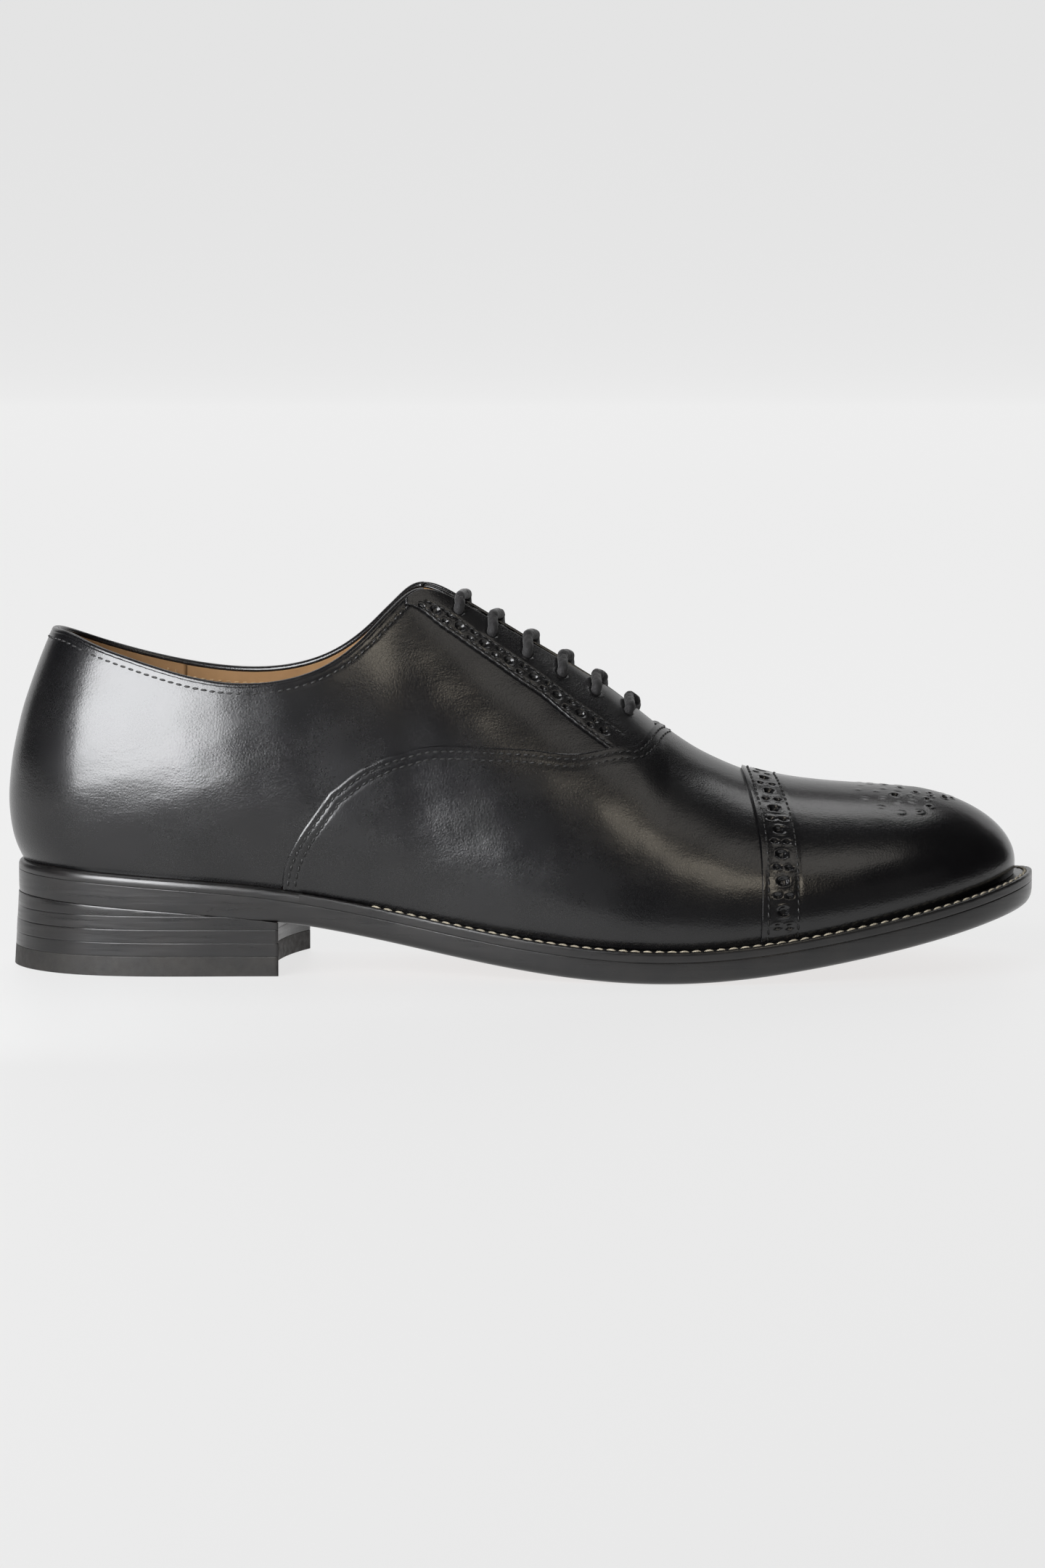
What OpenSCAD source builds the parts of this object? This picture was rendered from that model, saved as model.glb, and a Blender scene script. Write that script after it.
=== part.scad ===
// Cap-toe semi-brogue oxford, right shoe, leather sole with a stacked leather heel.
// X runs to the toe, Y to the medial side, Z up. The origin is the centre of the
// heel's flat resting face. The upper is a stack of leather shells that follow one
// last surface; the bottom is a stack of plates that follow one toe-spring curve.

/* [Size] */
// Overall length of the sole from heel to toe
shoe_length = 305; // [285:1:325]
// Thickness of the upper leather
upper_t = 1.3; // [1.1:0.1:1.4]
// Thickness of the lining leather
lining_t = 0.9; // [0.7:0.1:1.0]
// Thickness of the heel counter and the toe puff
stiffener_t = 1.1; // [0.8:0.1:1.1]
// Thickness of the brogued eyelet facing
facing_t = 0.9; // [0.7:0.1:1.1]
// Thickness of the padded tongue
tongue_t = 1.6; // [1.2:0.1:2.0]

/* [Bottom] */
// Thickness of the welt and of the heel rand
welt_t = 3.0; // [2.5:0.1:3.4]
// Thickness of the leather outsole
outsole_t = 6.6; // [5.5:0.1:6.8]
// Thickness of the insole
insole_t = 3.0; // [2.5:0.1:3.5]
// Thickness of the rubber top piece under the heel
top_piece_t = 5.8; // [5:0.1:6.2]
// Thickness of one leather heel lift
lift_t = 3.9; // [3.5:0.1:4.2]
// Stitches along the welt
welt_stitches = 96; // [60:1:110]

/* [Lacing] */
// Diameter of the round cord
lace_d = 2.6; // [2.0:0.1:2.8]
// Radius of the rolled binding along the topline
binding_r = 1.0; // [0.8:0.1:1.0]

/* [Hidden] */

size = shoe_length / 305;
heel_centre = 41;
eps = 0.001;
film = 0.25;
LEATHER = [0.06, 0.06, 0.065];
EDGE = [0.10, 0.09, 0.085];
TAN = [0.66, 0.50, 0.33];
NATURAL = [0.62, 0.36, 0.18];

// ---- Last -----------------------------------------------------------------------
// Stations of the last from the centre of the heel to the tip of the toe, in mm from
// the back of the sole. Each gives the feather edge (x, lateral y, medial y), the top
// of its section (x, middle y, half gap, z), the belly above the feather edge (out, up),
// the run into the top (forward, out, up) and the width of the welt outside it.
STATIONS = [
    [2,     0,    0,   12.5, 0,   0,   101.8,  9.5, 16,   -13, 0,  -25,   1.5],
    [8,   -15,   15,   15.5, 0,   12,  100.5,  9,   16,   -8,  9,  -25,   1.8],
    [21,  -25.8, 25.2, 25,   0,   21,  96,     7.5, 17,   -2,  8,  -24,   2.2],
    [39,  -29.6, 28.4, 40,   0,   26,  91,     6.5, 18,   0,   5.5, -22,  2.6],
    [58,  -30,   27.2, 58,   0,   28.5, 87,    6,   18,   0,   4.5, -22,  2.8],
    [79,  -29.2, 24,   77,   0,   28,  85.7,   6,   18,   0,   4.5, -22,  3.0],
    [99,  -29.5, 22,   95,   0,   24.5, 90,    6.5, 20,   0,   7,  -24,   3.3],
    [116, -31,   22.3, 109,  0,   18.5, 101,   7,   22,   0,   10, -26,   3.8],
    [131, -34,   24.5, 121,  0,   6,   116.2,  7.5, 22,   0,  17,  -23,   4.4],
    [146, -37.5, 28,   134,  0,   3,   108.6,  8,   22,   1,  21,  -18.5, 5.0],
    [161, -41,   32,   150,  0,   2.2, 98.8,   8,   21,   1,  22.5, -14,  5.5],
    [176, -44,   36,   166,  0,   1.5, 89.2,   7.5, 20,   1,  23.5, -9.5, 5.8],
    [190, -46,   39.6, 181,  0,   0,   79.8,   7,   19,   1,  23.5, -4.5, 6.0],
    [205, -47,   42.3, 195.5, 0,  0,   67.2,   6.5, 18,   1,   24, -1,    6.0],
    [221, -46,   43.3, 213,  0,   0,   57.5,   6,   17,   1,   24, 0,     6.0],
    [238, -42.6, 43.4, 231,  0.7, 0,   53.2,   5.5, 16,   2,  22,  0,     6.0],
    [257, -36.8, 41.2, 247,  1.5, 0,   52.2,   5,   15,   5,  20,  0,     6.1],
    [276, -28,   35.6, 260,  2.5, 0,   52.0,   4.5, 14,   10, 17,  -1.2,  6.2],
    [292.5, -14.6, 23.8, 268, 3.5, 0,  51.6,   4,   13,   15, 9,   -2.2,  6.3],
    [302.3, 4.5,  4.5, 271.5, 4,  0,   51.2,   3.5, 12.5, 17, 0,   -3,    6.3]];
TOE = len(STATIONS) - 1;

// Height of the welt's top every 25 mm from x = -25: heel pitch, waist, ball, toe spring.
SPRING = [32.6, 31.6, 30.3, 28.5, 26.6, 22.6, 17.4, 12.8, 9.9, 9.45, 11.7, 15.6, 20.2, 26, 33];
SPRING_STEP = 25;

// The lateral half in order, then the medial half back to the heel.
function station(j) = let(
    side = j <= TOE ? -1 : 1,
    r = STATIONS[j <= TOE ? j : 2 * TOE - j])
    [r[0], side < 0 ? r[1] : r[2], r[3], r[4] + side * r[5], r[6], r[7], r[8], r[9], side * r[10], r[11], r[12]];
RING = [for (j = [0:2 * TOE - 1]) station(j)];

// Uniform cubic B-spline through a closed list of rows.
function weights(t) = [pow(1 - t, 3), 3 * t * t * t - 6 * t * t + 4, -3 * t * t * t + 3 * t * t + 3 * t + 1, t * t * t] / 6;
function wrap(k) = (k + 2 * TOE) % (2 * TOE);
function ring_at(u) = let(i = floor(u), w = weights(u - i))
    w[0] * RING[wrap(i - 1)] + w[1] * RING[wrap(i)] + w[2] * RING[wrap(i + 1)] + w[3] * RING[wrap(i + 2)];
function spring(x) = let(
    s = x / SPRING_STEP + 1,
    i = min(max(floor(s), 1), len(SPRING) - 3),
    w = weights(s - i))
    w[0] * SPRING[i - 1] + w[1] * SPRING[i] + w[2] * SPRING[i + 1] + w[3] * SPRING[i + 2];
function unit(v) = v / norm(v);
function plan_normal(u) = let(a = ring_at(u - 0.01), b = ring_at(u + 0.01), t = unit([b[0] - a[0], b[1] - a[1]]))
    [t[1], -t[0], 0];

// The four control points of the section that rises from the feather edge at u.
function section(u) = let(
    r = ring_at(u),
    foot = [r[0], r[1], spring(r[0])],
    top = [r[2], r[3], r[4]],
    belly = foot + plan_normal(u) * r[5] + [0, 0, r[6]],
    run = top + [r[7], r[8], r[9]])
    [foot, belly, run, top];
function rise(s, v) = pow(1 - v, 3) * s[0] + 3 * pow(1 - v, 2) * v * s[1] + 3 * (1 - v) * v * v * s[2] + v * v * v * s[3];

// A point at height v (0 feather edge, 1 top) and distance d outside the last. The
// column c holds the sections just behind, at and just ahead of the point. The normal
// is taken a little below the top, where the toe's sections meet in one point.
function column(u) = [section(u - 0.01), section(u), section(u + 0.01)];
function skin(c, v, d) = let(
    p = rise(c[1], v),
    w = min(v, 0.985),
    along = rise(c[2], w) - rise(c[0], w),
    up = rise(c[1], w + 0.01) - rise(c[1], w - 0.01),
    q = p + unit(cross(along, up)) * d)
    [q[0], q[1], max(q[2], spring(q[0]) + film)];

// ---- Pattern lines, as heights v over the stations --------------------------------
function smooth(a, b, x) = let(t = min(max((x - a) / (b - a), 0), 1)) t * t * (3 - 2 * t);
function pick(list, first, u) = let(s = min(max(u - first, 0), len(list) - 1 - eps), i = floor(s))
    list[i] + (list[i + 1] - list[i]) * (s - i);
// Rear edge of the vamp: steep at the welt, level over the waist, up to the throat.
seam_start = 5.3;
throat_u = 13;
SEAM = [0.47, 0.55, 0.54, 0.545, 0.582, 0.618, 0.69];
function seam(u) = u <= 6 ? 0.47 * sqrt(max(u - seam_start, 0) / 0.7)
    : u <= 12 ? pick(SEAM, 6, u) : 0.69 + 0.31 * pow(min(u, throat_u) - 12, 2);
// Lower edge of the eyelet facing.
FACING = [0.93, 0.855, 0.806, 0.735, 0.64, 0.64];
function facing_edge(u) = max(pick(FACING, 8, u), seam(u) + 0.012);
topline_v = 0.968;
throat_gap = 0.014;
function edge_top(u) = topline_v + (1 - topline_v) * smooth(7.4, 8.2, u) - throat_gap * smooth(11, 12.2, u);
cap_u = 14.25;
underlap = 0.09;

// Distance outward of the vamp and the cap where they lap over the piece behind them.
lap_rise = upper_t + 2.6 * film;
function vamp_out(u, v) = let(
    w = min(u, throat_u),
    slope = 3.8 * max(w - 12, 0),
    s = (seam(w) - v) * 95 / sqrt(1 + slope * slope) + (u - w) * 15.5)
    lap_rise * (1 - smooth(9.5, 20, s));
function cap_out(u, v) = lap_rise * (1 - smooth(cap_u + 0.75, cap_u + 1.8, u));
// The lining steps inward to make room for the counter and the puff.
function lining_out(u, v) = let(
    heel = (1 - smooth(5, 6.2, u)) * (1 - smooth(0.66, 0.82, v)),
    toe = smooth(13.9, 14.7, u))
    -upper_t - film - (stiffener_t + film) * max(heel, toe);

// ---- Shells -----------------------------------------------------------------------
// A closed shell over the columns us, with rows at the heights that heights(u) lists,
// from outer(u, v) inward by t. Side -1 is lateral and 1 medial. With both sides they
// are joined along the ridge from the column at join_u on, and at the start or end
// column where that lies on the shoe's centre. The cells in gaps are left open.
module shell(us, heights, outer, t, sides = [-1, 1], join_u = 99, join_start = false,
        join_end = false, gaps = []) {
    n = len(us);
    rows = len(heights(us[0])) - 1;
    both = len(sides) == 2;
    level = [for (u = us) heights(u)];
    columns = [for (s = [-1, 1]) [for (u = us) column(s < 0 ? u : 2 * TOE - u)]];
    shared = function(i, j) both && ((j == rows && us[i] >= join_u - eps)
        || (join_start && i == 0) || (join_end && i == n - 1));
    place = function(k, i, j, d) skin(columns[k][i], level[i][j], d);
    point = function(s, i, j, d) shared(i, j)
        ? (place(0, i, j, d) + place(1, i, j, d)) / 2
        : place(s < 0 ? 0 : 1, i, j, d);
    points = [for (s = sides) for (i = [0:n - 1]) for (j = [0:rows])
        let(d = outer(us[i], level[i][j])) each [point(s, i, j, d), point(s, i, j, d - t)]];
    id = function(k, i, j, layer) 2 * (((shared(i, j) ? 0 : k) * n + i) * (rows + 1) + j) + layer;
    is_gap = function(i, j) len([for (g = gaps) if (g == [i, j]) 1]) > 0;
    kept = function(i, j) i >= 0 && j >= 0 && i < n - 1 && j < rows && !is_gap(i, j);
    turn = function(k, f) sides[k] < 0 ? [f[2], f[1], f[0]] : f;
    faces = [for (k = [0:len(sides) - 1]) for (i = [0:n - 2]) for (j = [0:rows - 1]) if (kept(i, j))
        let(q = [[i, j], [i + 1, j], [i + 1, j + 1], [i, j + 1]],
            beyond = [[i, j - 1], [i + 1, j], [i, j + 1], [i - 1, j]],
            o = [for (p = q) id(k, p[0], p[1], 0)],
            m = [for (p = q) id(k, p[0], p[1], 1)])
        each concat(
            [turn(k, [o[0], o[1], o[2]]), turn(k, [o[0], o[2], o[3]]),
             turn(k, [m[2], m[1], m[0]]), turn(k, [m[3], m[2], m[0]])],
            [for (e = [0:3]) let(a = q[e], f = (e + 1) % 4, b = q[f], w = beyond[e])
                if (!kept(w[0], w[1]) && !(shared(a[0], a[1]) && shared(b[0], b[1])))
                each [turn(k, [o[f], o[e], m[e]]), turn(k, [o[f], m[e], m[f]])]])];
    polyhedron(points = points, faces = faces);
}

// A closed sheet between two grids of points of the same size.
module sheet(upper, lower) {
    n = len(upper);
    m = len(upper[0]);
    points = concat([for (r = upper) each r], [for (r = lower) each r]);
    id = function(i, j, layer) layer * n * m + i * m + j;
    rim = concat([for (i = [0:n - 1]) [i, 0]], [for (j = [1:m - 1]) [n - 1, j]],
        [for (i = [n - 2:-1:0]) [i, m - 1]], [for (j = [m - 2:-1:1]) [0, j]]);
    cells = [for (i = [0:n - 2]) for (j = [0:m - 2]) let(
        o = [id(i, j, 0), id(i + 1, j, 0), id(i + 1, j + 1, 0), id(i, j + 1, 0)],
        w = [id(i, j, 1), id(i + 1, j, 1), id(i + 1, j + 1, 1), id(i, j + 1, 1)])
        each [[o[2], o[1], o[0]], [o[3], o[2], o[0]], [w[0], w[1], w[2]], [w[0], w[2], w[3]]]];
    walls = [for (k = [0:len(rim) - 1]) let(a = rim[k], b = rim[(k + 1) % len(rim)])
        each [[id(a[0], a[1], 0), id(b[0], b[1], 0), id(a[0], a[1], 1)],
              [id(b[0], b[1], 0), id(b[0], b[1], 1), id(a[0], a[1], 1)]]];
    polyhedron(points = points, faces = concat(cells, walls));
}

// A round cord through a list of points, as one closed tube.
module cord(path, r, sides = 8) {
    n = len(path);
    dir = [for (i = [0:n - 1]) unit(path[min(i + 1, n - 1)] - path[max(i - 1, 0)])];
    first = unit(cross(dir[0], [0.31, 0.2, 0.93]));
    frames = [for (i = 0, a = first; i < n; i = i + 1,
        a = i < n ? unit(a - (a * dir[i]) * dir[i]) : a) a];
    points = [for (i = [0:n - 1]) for (k = [0:sides - 1]) let(t = 360 * k / sides)
        path[i] + r * (cos(t) * frames[i] + sin(t) * cross(dir[i], frames[i]))];
    walls = [for (i = [0:n - 2]) for (k = [0:sides - 1])
        let(a = i * sides + k, b = i * sides + (k + 1) % sides)
        each [[a, a + sides, b + sides], [a, b + sides, b]]];
    polyhedron(points = points, faces = concat(walls,
        [[for (k = [0:sides - 1]) k]], [[for (k = [sides - 1:-1:0]) (n - 1) * sides + k]]));
}

module placed() {
    scale(size) translate([-heel_centre, 0, 0]) children();
}

// ---- Upper ------------------------------------------------------------------------
// Lace holes: pairs along the throat, each between two columns and two rows.
eyelets = 6;
eyelet_half = 0.115;
eyelet_tall = 0.026;
function eyelet_u(k) = 8.85 + 0.646 * k;
function eyelet_v(u) = 0.92 - 0.01 * (min(max(u, 8), 13) - 8.85);

COLUMNS = [for (u = [0:0.5:5]) u, 5.36, 5.6, 5.85, 6.2, 6.6, 7, 7.4, 7.8, 8.2, 8.5,
    for (k = [0:eyelets - 1]) each [eyelet_u(k) - eyelet_half, eyelet_u(k) + eyelet_half],
    12.4, 12.6, 12.8, 13, 13.3, 13.65, 13.95, cap_u, 14.6, 14.9, for (u = [15.3:0.41:19]) u, 19];
function between(a, b) = [for (u = COLUMNS) if (u >= a - eps && u <= b + eps) u];
function index_of(list, value) = [for (i = [0:len(list) - 1]) if (abs(list[i] - value) < eps) i][0];

// Even rows from low to high, and rows that also pass either side of the lace holes.
function even(low, high, n) = [for (j = [0:n]) low + (high - low) * j / n];
function pierced(low, high, n, u) = let(v = eyelet_v(u)) concat(even(low, v - eyelet_tall, n), [v + eyelet_tall, high]);
function hole_cells(us, row) = [for (k = [0:eyelets - 1]) [index_of(us, eyelet_u(k) - eyelet_half), row]];

quarter_rows = 9;
module quarter(side) {
    us = between(0, 12.8);
    shell(us, function(u) pierced(max(seam(u) - underlap, 0), edge_top(u), quarter_rows, u),
        function(u, v) 0, upper_t, [side], gaps = hole_cells(us, quarter_rows));
}
module vamp() color(LEATHER) placed()
    shell(between(5.36, 14.9), function(u) even(0, u < throat_u ? seam(u) : 1, 8),
        function(u, v) vamp_out(u, v), upper_t, join_u = throat_u);

module toe_cap() color(LEATHER) placed()
    shell(between(cap_u, TOE), function(u) even(0, 1, 8), function(u, v) cap_out(u, v), upper_t,
        join_u = throat_u, join_end = true);

module quarter_lateral() color(LEATHER) placed() quarter(-1);
module quarter_medial() color(LEATHER) placed() quarter(1);

facing_rows = 3;
module facing(side) {
    us = between(8.2, 12.6);
    shell(us, function(u) pierced(min(facing_edge(u), eyelet_v(u) - 0.035), 1, facing_rows, u),
        function(u, v) facing_t + film, facing_t, [side], gaps = hole_cells(us, facing_rows));
}
module facing_lateral() color(LEATHER) placed() facing(-1);
module facing_medial() color(LEATHER) placed() facing(1);

// Depth of the lining's inside, of the cord's inside runs, and of the tongue's top.
lining_d = -upper_t - film - lining_t;
inside_d = lining_d - lace_d / 2 - 0.4;
tongue_d = inside_d - lace_d / 2 - 0.4;
outside_d = facing_t + film + lace_d / 2 + 0.15;

function on_side(s, u, v, d) = skin(column(s < 0 ? u : 2 * TOE - u), v, d);
function tongue_row(u, d) = let(
    low = 0.74 + 0.025 * (u - 8.3),
    vs = [low, low + (1 - low) * 0.3, low + (1 - low) * 0.55, 0.94],
    crown = (on_side(-1, u, 1, d) + on_side(1, u, 1, d)) / 2 + [0, 0, 0.3])
    concat([for (v = vs) on_side(-1, u, v, d)], [crown], [for (k = [3:-1:0]) on_side(1, u, vs[k], d)]);
module tongue() color(LEATHER) placed() {
    us = [for (u = [8.35:0.35:12.55]) u];
    sheet([for (u = us) tongue_row(u, tongue_d)], [for (u = us) tongue_row(u, tongue_d - tongue_t)]);
}

// The cord runs straight across outside at each pair and steps up inside between pairs.
function across(k, s) = let(u = eyelet_u(k), v = eyelet_v(u))
    [for (p = [[0, -2], [0, 0.9], [0.004, outside_d - 0.3], [0.04, outside_d + 0.1], [1 - v, outside_d + 0.4]])
        on_side(s, u, v + p[0], p[1])];
function bar(k, s) = concat(across(k, s), [for (i = [4:-1:0]) across(k, -s)[i]]);
function climb(a, b, s) = let(va = eyelet_v(a), vb = eyelet_v(b), step = b > a ? 0.06 : -0.06)
    [on_side(s, a + step, va, inside_d + 0.3), on_side(s, a + (b - a) * 0.35, va, inside_d),
     on_side(s, a + (b - a) * 0.65, vb, inside_d), on_side(s, b - step, vb, inside_d + 0.3)];
function lacing(k) = let(s = k % 2 == 1 ? -1 : 1)
    k == 0 ? bar(0, s) : concat(bar(k, s), climb(eyelet_u(k), eyelet_u(k - 1), -s), lacing(k - 1));
lace_path = let(first = eyelet_u(eyelets - 1), last = eyelet_u(0), v = eyelet_v(first), w = eyelet_v(last)) concat(
    [on_side(-1, first + 0.3, v - 0.02, inside_d), on_side(-1, first + 0.06, v, inside_d + 0.3)],
    lacing(eyelets - 1),
    [on_side(-1, last - 0.06, w, inside_d + 0.3), on_side(-1, last - 0.45, w, inside_d)]);
module shoelace() color([0.03, 0.03, 0.03]) placed() cord(lace_path, lace_d / 2);

binding_rise = 0.02;
module topline_binding() color(LEATHER) placed() {
    rim = concat([8.25, 7.8], [for (u = [7.4:-0.3:0.2]) u]);
    us = concat(rim, [0], [for (k = [len(rim) - 1:-1:0]) -rim[k]]);
    cord([for (u = us) on_side(-1, u < 0 ? 2 * TOE + u : u, edge_top(abs(u)) + binding_rise, -1.2)], binding_r);
}

// ---- Lining and stiffeners ----------------------------------------------------------
grip_u = 3.5;
lining_gap = 0.006;
// The fold between the vamp lining and the quarter linings, just below the vamp's edge.
function lining_seam(u) = seam(u) - 0.05 * (1 - smooth(12.7, throat_u, u));
module heel_grip() color(TAN) placed()
    shell(between(0, grip_u), function(u) pierced(0, topline_v, quarter_rows, u),
        function(u, v) lining_out(u, v), lining_t, join_start = true);
module quarter_lining(side) {
    us = concat([grip_u + 0.03], between(4, 12.6));
    shell(us, function(u) pierced(max(lining_seam(u), 0), edge_top(u), quarter_rows, u),
        function(u, v) lining_out(u, v), lining_t, [side], gaps = hole_cells(us, quarter_rows));
}
module quarter_lining_lateral() color(TAN) placed() quarter_lining(-1);
module quarter_lining_medial() color(TAN) placed() quarter_lining(1);
module vamp_lining() color(TAN) placed()
    shell(between(5.6, TOE), function(u) even(0, u < throat_u ? lining_seam(u) - lining_gap : 1, 8),
        function(u, v) lining_out(u, v), lining_t, join_u = throat_u, join_end = true);
module heel_counter() color([0.75, 0.66, 0.5]) placed()
    shell(between(0, 5), function(u) even(0, 0.62, 6), function(u, v) -upper_t - film, stiffener_t,
        join_start = true);
module toe_puff() color([0.75, 0.66, 0.5]) placed()
    shell(between(15.3, TOE), function(u) even(0, 1, 8), function(u, v) -upper_t - film, stiffener_t,
        join_u = throat_u, join_end = true);

// ---- Bottom -------------------------------------------------------------------------
// Plan outline at distance out(width of the welt) from the feather edge.
function outline(out) = [for (u = [0:0.5:2 * TOE - 0.5]) let(r = ring_at(u), p = [r[0], r[1]] + out(r[10]) *
    [plan_normal(u)[0], plan_normal(u)[1]]) p];
module slab(out) translate([0, 0, -20]) linear_extrude(height = 80) polygon(outline(out));
// Everything between depths top and bottom under the toe-spring curve.
module band(top, bottom) {
    xs = [for (x = [-12:6:318]) x];
    rotate([90, 0, 0]) linear_extrude(height = 140, center = true) polygon(concat(
        [for (x = xs) [x, spring(x) - top]],
        [for (k = [len(xs) - 1:-1:0]) [xs[k], spring(xs[k]) - bottom]]));
}
module plate(out, top, bottom) {
    intersection() {
        slab(out);
        band(top, bottom);
    }
}
module behind(x) translate([-50, -100, -50]) cube([50 + x, 200, 200]);

breast_x = 79;
sole_d = welt_t + 0.05 + outsole_t;
module ring_plate(inside) {
    difference() {
        plate(function(w) w, 0, welt_t);
        slab(function(w) -inside);
    }
}
welt_inside = 4;
module welt() color(EDGE) placed() difference() {
    ring_plate(welt_inside);
    behind(breast_x + 0.1);
}
module heel_rand() color(EDGE) placed() intersection() {
    ring_plate(welt_inside);
    behind(breast_x - 0.1);
}
module outsole() color(NATURAL) placed() plate(function(w) w, welt_t + 0.05, sole_d);

insole_inset = 4.9;
module insole() color(NATURAL) placed() plate(function(w) -insole_inset, -insole_t - 0.1, -0.1);
module heel_pad() color(TAN) placed() intersection() {
    plate(function(w) -insole_inset - 1, -insole_t - 1.2, -insole_t - 0.2);
    behind(92);
}
rib_x = 72;
rib_t = 1.5;
module insole_rib() color([0.8, 0.76, 0.66]) placed() difference() {
    plate(function(w) -insole_inset, -0.05, welt_t - 0.15);
    slab(function(w) -insole_inset - rib_t);
    behind(rib_x);
}
shank_w = 14;
module shank_space(margin, top, bottom) intersection() {
    translate([50 - margin, -shank_w / 2 - 2 - margin, -50]) cube([98 + 2 * margin, shank_w + 2 * margin, 150]);
    band(top, bottom);
}
module cork_filler() color([0.62, 0.45, 0.27]) placed() difference() {
    plate(function(w) -insole_inset - rib_t - 0.2, 0.05, welt_t - 0.1);
    shank_space(0.3, -5, 2.4);
}
module shank() color([0.6, 0.6, 0.62]) placed() shank_space(0, 0.4, 2.2);

// A row of straight thread bars along the welt.
module welt_stitching() color([0.85, 0.82, 0.72]) placed() {
    first = 6.6;
    for (k = [0:welt_stitches - 1]) {
        u = first + (2 * (TOE - first)) * (k + 0.5) / welt_stitches;
        r = ring_at(u);
        n = plan_normal(u);
        p = [r[0], r[1]] + (r[10] - 1.7) * [n[0], n[1]];
        slope = atan(spring(p[0] + 1) - spring(p[0]));
        translate([p[0], p[1], spring(p[0]) + 0.45]) rotate([0, -slope, 0])
            rotate([0, 0, atan2(n[0], -n[1])]) cube([2.6, 0.7, 0.4], center = true);
    }
}

// ---- Heel ---------------------------------------------------------------------------
nail_r = 0.8;
nail_low = 1.2;
nail_high = 15;
NAIL_PLACES = [for (u = [0, 1.6, 3, 2 * TOE - 3, 2 * TOE - 1.6]) let(r = ring_at(u), n = plan_normal(u))
    [r[0] - 9 * n[0], r[1] - 9 * n[1]]];
module nails(r) for (p = NAIL_PLACES) translate([p[0], p[1], nail_low]) cylinder(h = nail_high - nail_low, r = r, $fn = 24);

// The stack ends in a hollow breast with its inner corner cut off.
breast_centre = [160.5, -12.4];
breast_r = 81.8;
corner = [78.5, 28];
heel_inset = 0.4;
tall = 60;
module heel_block(low, high) intersection() {
    difference() {
        translate([0, 0, low]) linear_extrude(height = high - low) polygon(outline(function(w) w - heel_inset));
        translate([breast_centre[0], breast_centre[1], -1]) cylinder(h = tall, r = breast_r, $fn = 180);
        translate([breast_centre[0], -100, -1]) cube([200, 200, tall]);
        translate([corner[0], corner[1], -1]) rotate([0, 0, -45]) cube([20, 20, tall]);
    }
    band(sole_d + 0.05, tall);
}
module lift(k) {
    low = top_piece_t + 0.05 + k * (lift_t + 0.05);
    difference() {
        heel_block(low, low + lift_t);
        nails(nail_r + 0.05);
    }
}
module heel_lift_1() color(EDGE) placed() lift(0);
module heel_lift_2() color(EDGE) placed() lift(1);
module heel_lift_3() color(EDGE) placed() lift(2);
module heel_lift_4() color(EDGE) placed() lift(3);
module top_piece() color([0.08, 0.07, 0.06]) placed() difference() {
    heel_block(0, top_piece_t);
    nails(nail_r + 0.05);
}
module heel_nails() color([0.75, 0.6, 0.3]) placed() nails(nail_r);

vamp();
toe_cap();
quarter_lateral();
quarter_medial();
facing_lateral();
facing_medial();
tongue();
shoelace();
topline_binding();
heel_grip();
quarter_lining_lateral();
quarter_lining_medial();
vamp_lining();
heel_counter();
toe_puff();
insole();
heel_pad();
insole_rib();
cork_filler();
shank();
welt();
heel_rand();
welt_stitching();
outsole();
heel_lift_1();
heel_lift_2();
heel_lift_3();
heel_lift_4();
top_piece();
heel_nails();
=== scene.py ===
"""Looks for a cap-toe semi-brogue oxford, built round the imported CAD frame.

The leather pieces are dense shells over one last surface. It is worked out in
millimetres from the back of the sole, and set in the frame by the outsole's box.
"""
import math

import bmesh
import bpy
import numpy as np
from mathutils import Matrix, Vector
from mathutils.kdtree import KDTree


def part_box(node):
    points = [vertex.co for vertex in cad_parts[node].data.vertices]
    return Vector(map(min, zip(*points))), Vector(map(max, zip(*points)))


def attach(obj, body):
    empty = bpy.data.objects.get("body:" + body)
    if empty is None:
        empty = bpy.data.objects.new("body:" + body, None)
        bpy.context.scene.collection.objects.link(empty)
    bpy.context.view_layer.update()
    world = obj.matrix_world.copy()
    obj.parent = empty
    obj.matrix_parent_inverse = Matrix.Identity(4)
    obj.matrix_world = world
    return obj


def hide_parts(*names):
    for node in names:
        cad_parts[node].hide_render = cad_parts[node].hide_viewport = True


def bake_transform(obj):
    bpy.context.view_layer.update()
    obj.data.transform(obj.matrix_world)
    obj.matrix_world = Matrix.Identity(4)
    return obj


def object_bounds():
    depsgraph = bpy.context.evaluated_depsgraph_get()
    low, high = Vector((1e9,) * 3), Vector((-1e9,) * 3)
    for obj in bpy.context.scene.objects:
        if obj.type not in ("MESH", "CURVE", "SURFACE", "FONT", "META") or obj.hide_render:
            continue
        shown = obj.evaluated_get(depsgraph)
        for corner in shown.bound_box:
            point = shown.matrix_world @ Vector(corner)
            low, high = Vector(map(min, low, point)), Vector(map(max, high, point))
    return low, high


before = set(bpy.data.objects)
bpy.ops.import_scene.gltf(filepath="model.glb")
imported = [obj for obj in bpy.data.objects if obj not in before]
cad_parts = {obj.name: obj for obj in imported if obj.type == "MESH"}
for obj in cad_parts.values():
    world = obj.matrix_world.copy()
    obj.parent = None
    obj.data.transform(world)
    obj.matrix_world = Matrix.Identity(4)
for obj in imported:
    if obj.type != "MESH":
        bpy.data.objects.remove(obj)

CAD_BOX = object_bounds()
SCENE = bpy.context.scene
RNG = np.random.default_rng(7)
NUDGE = 0.01  # half the span, in stations or in height, that slopes are taken over

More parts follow.
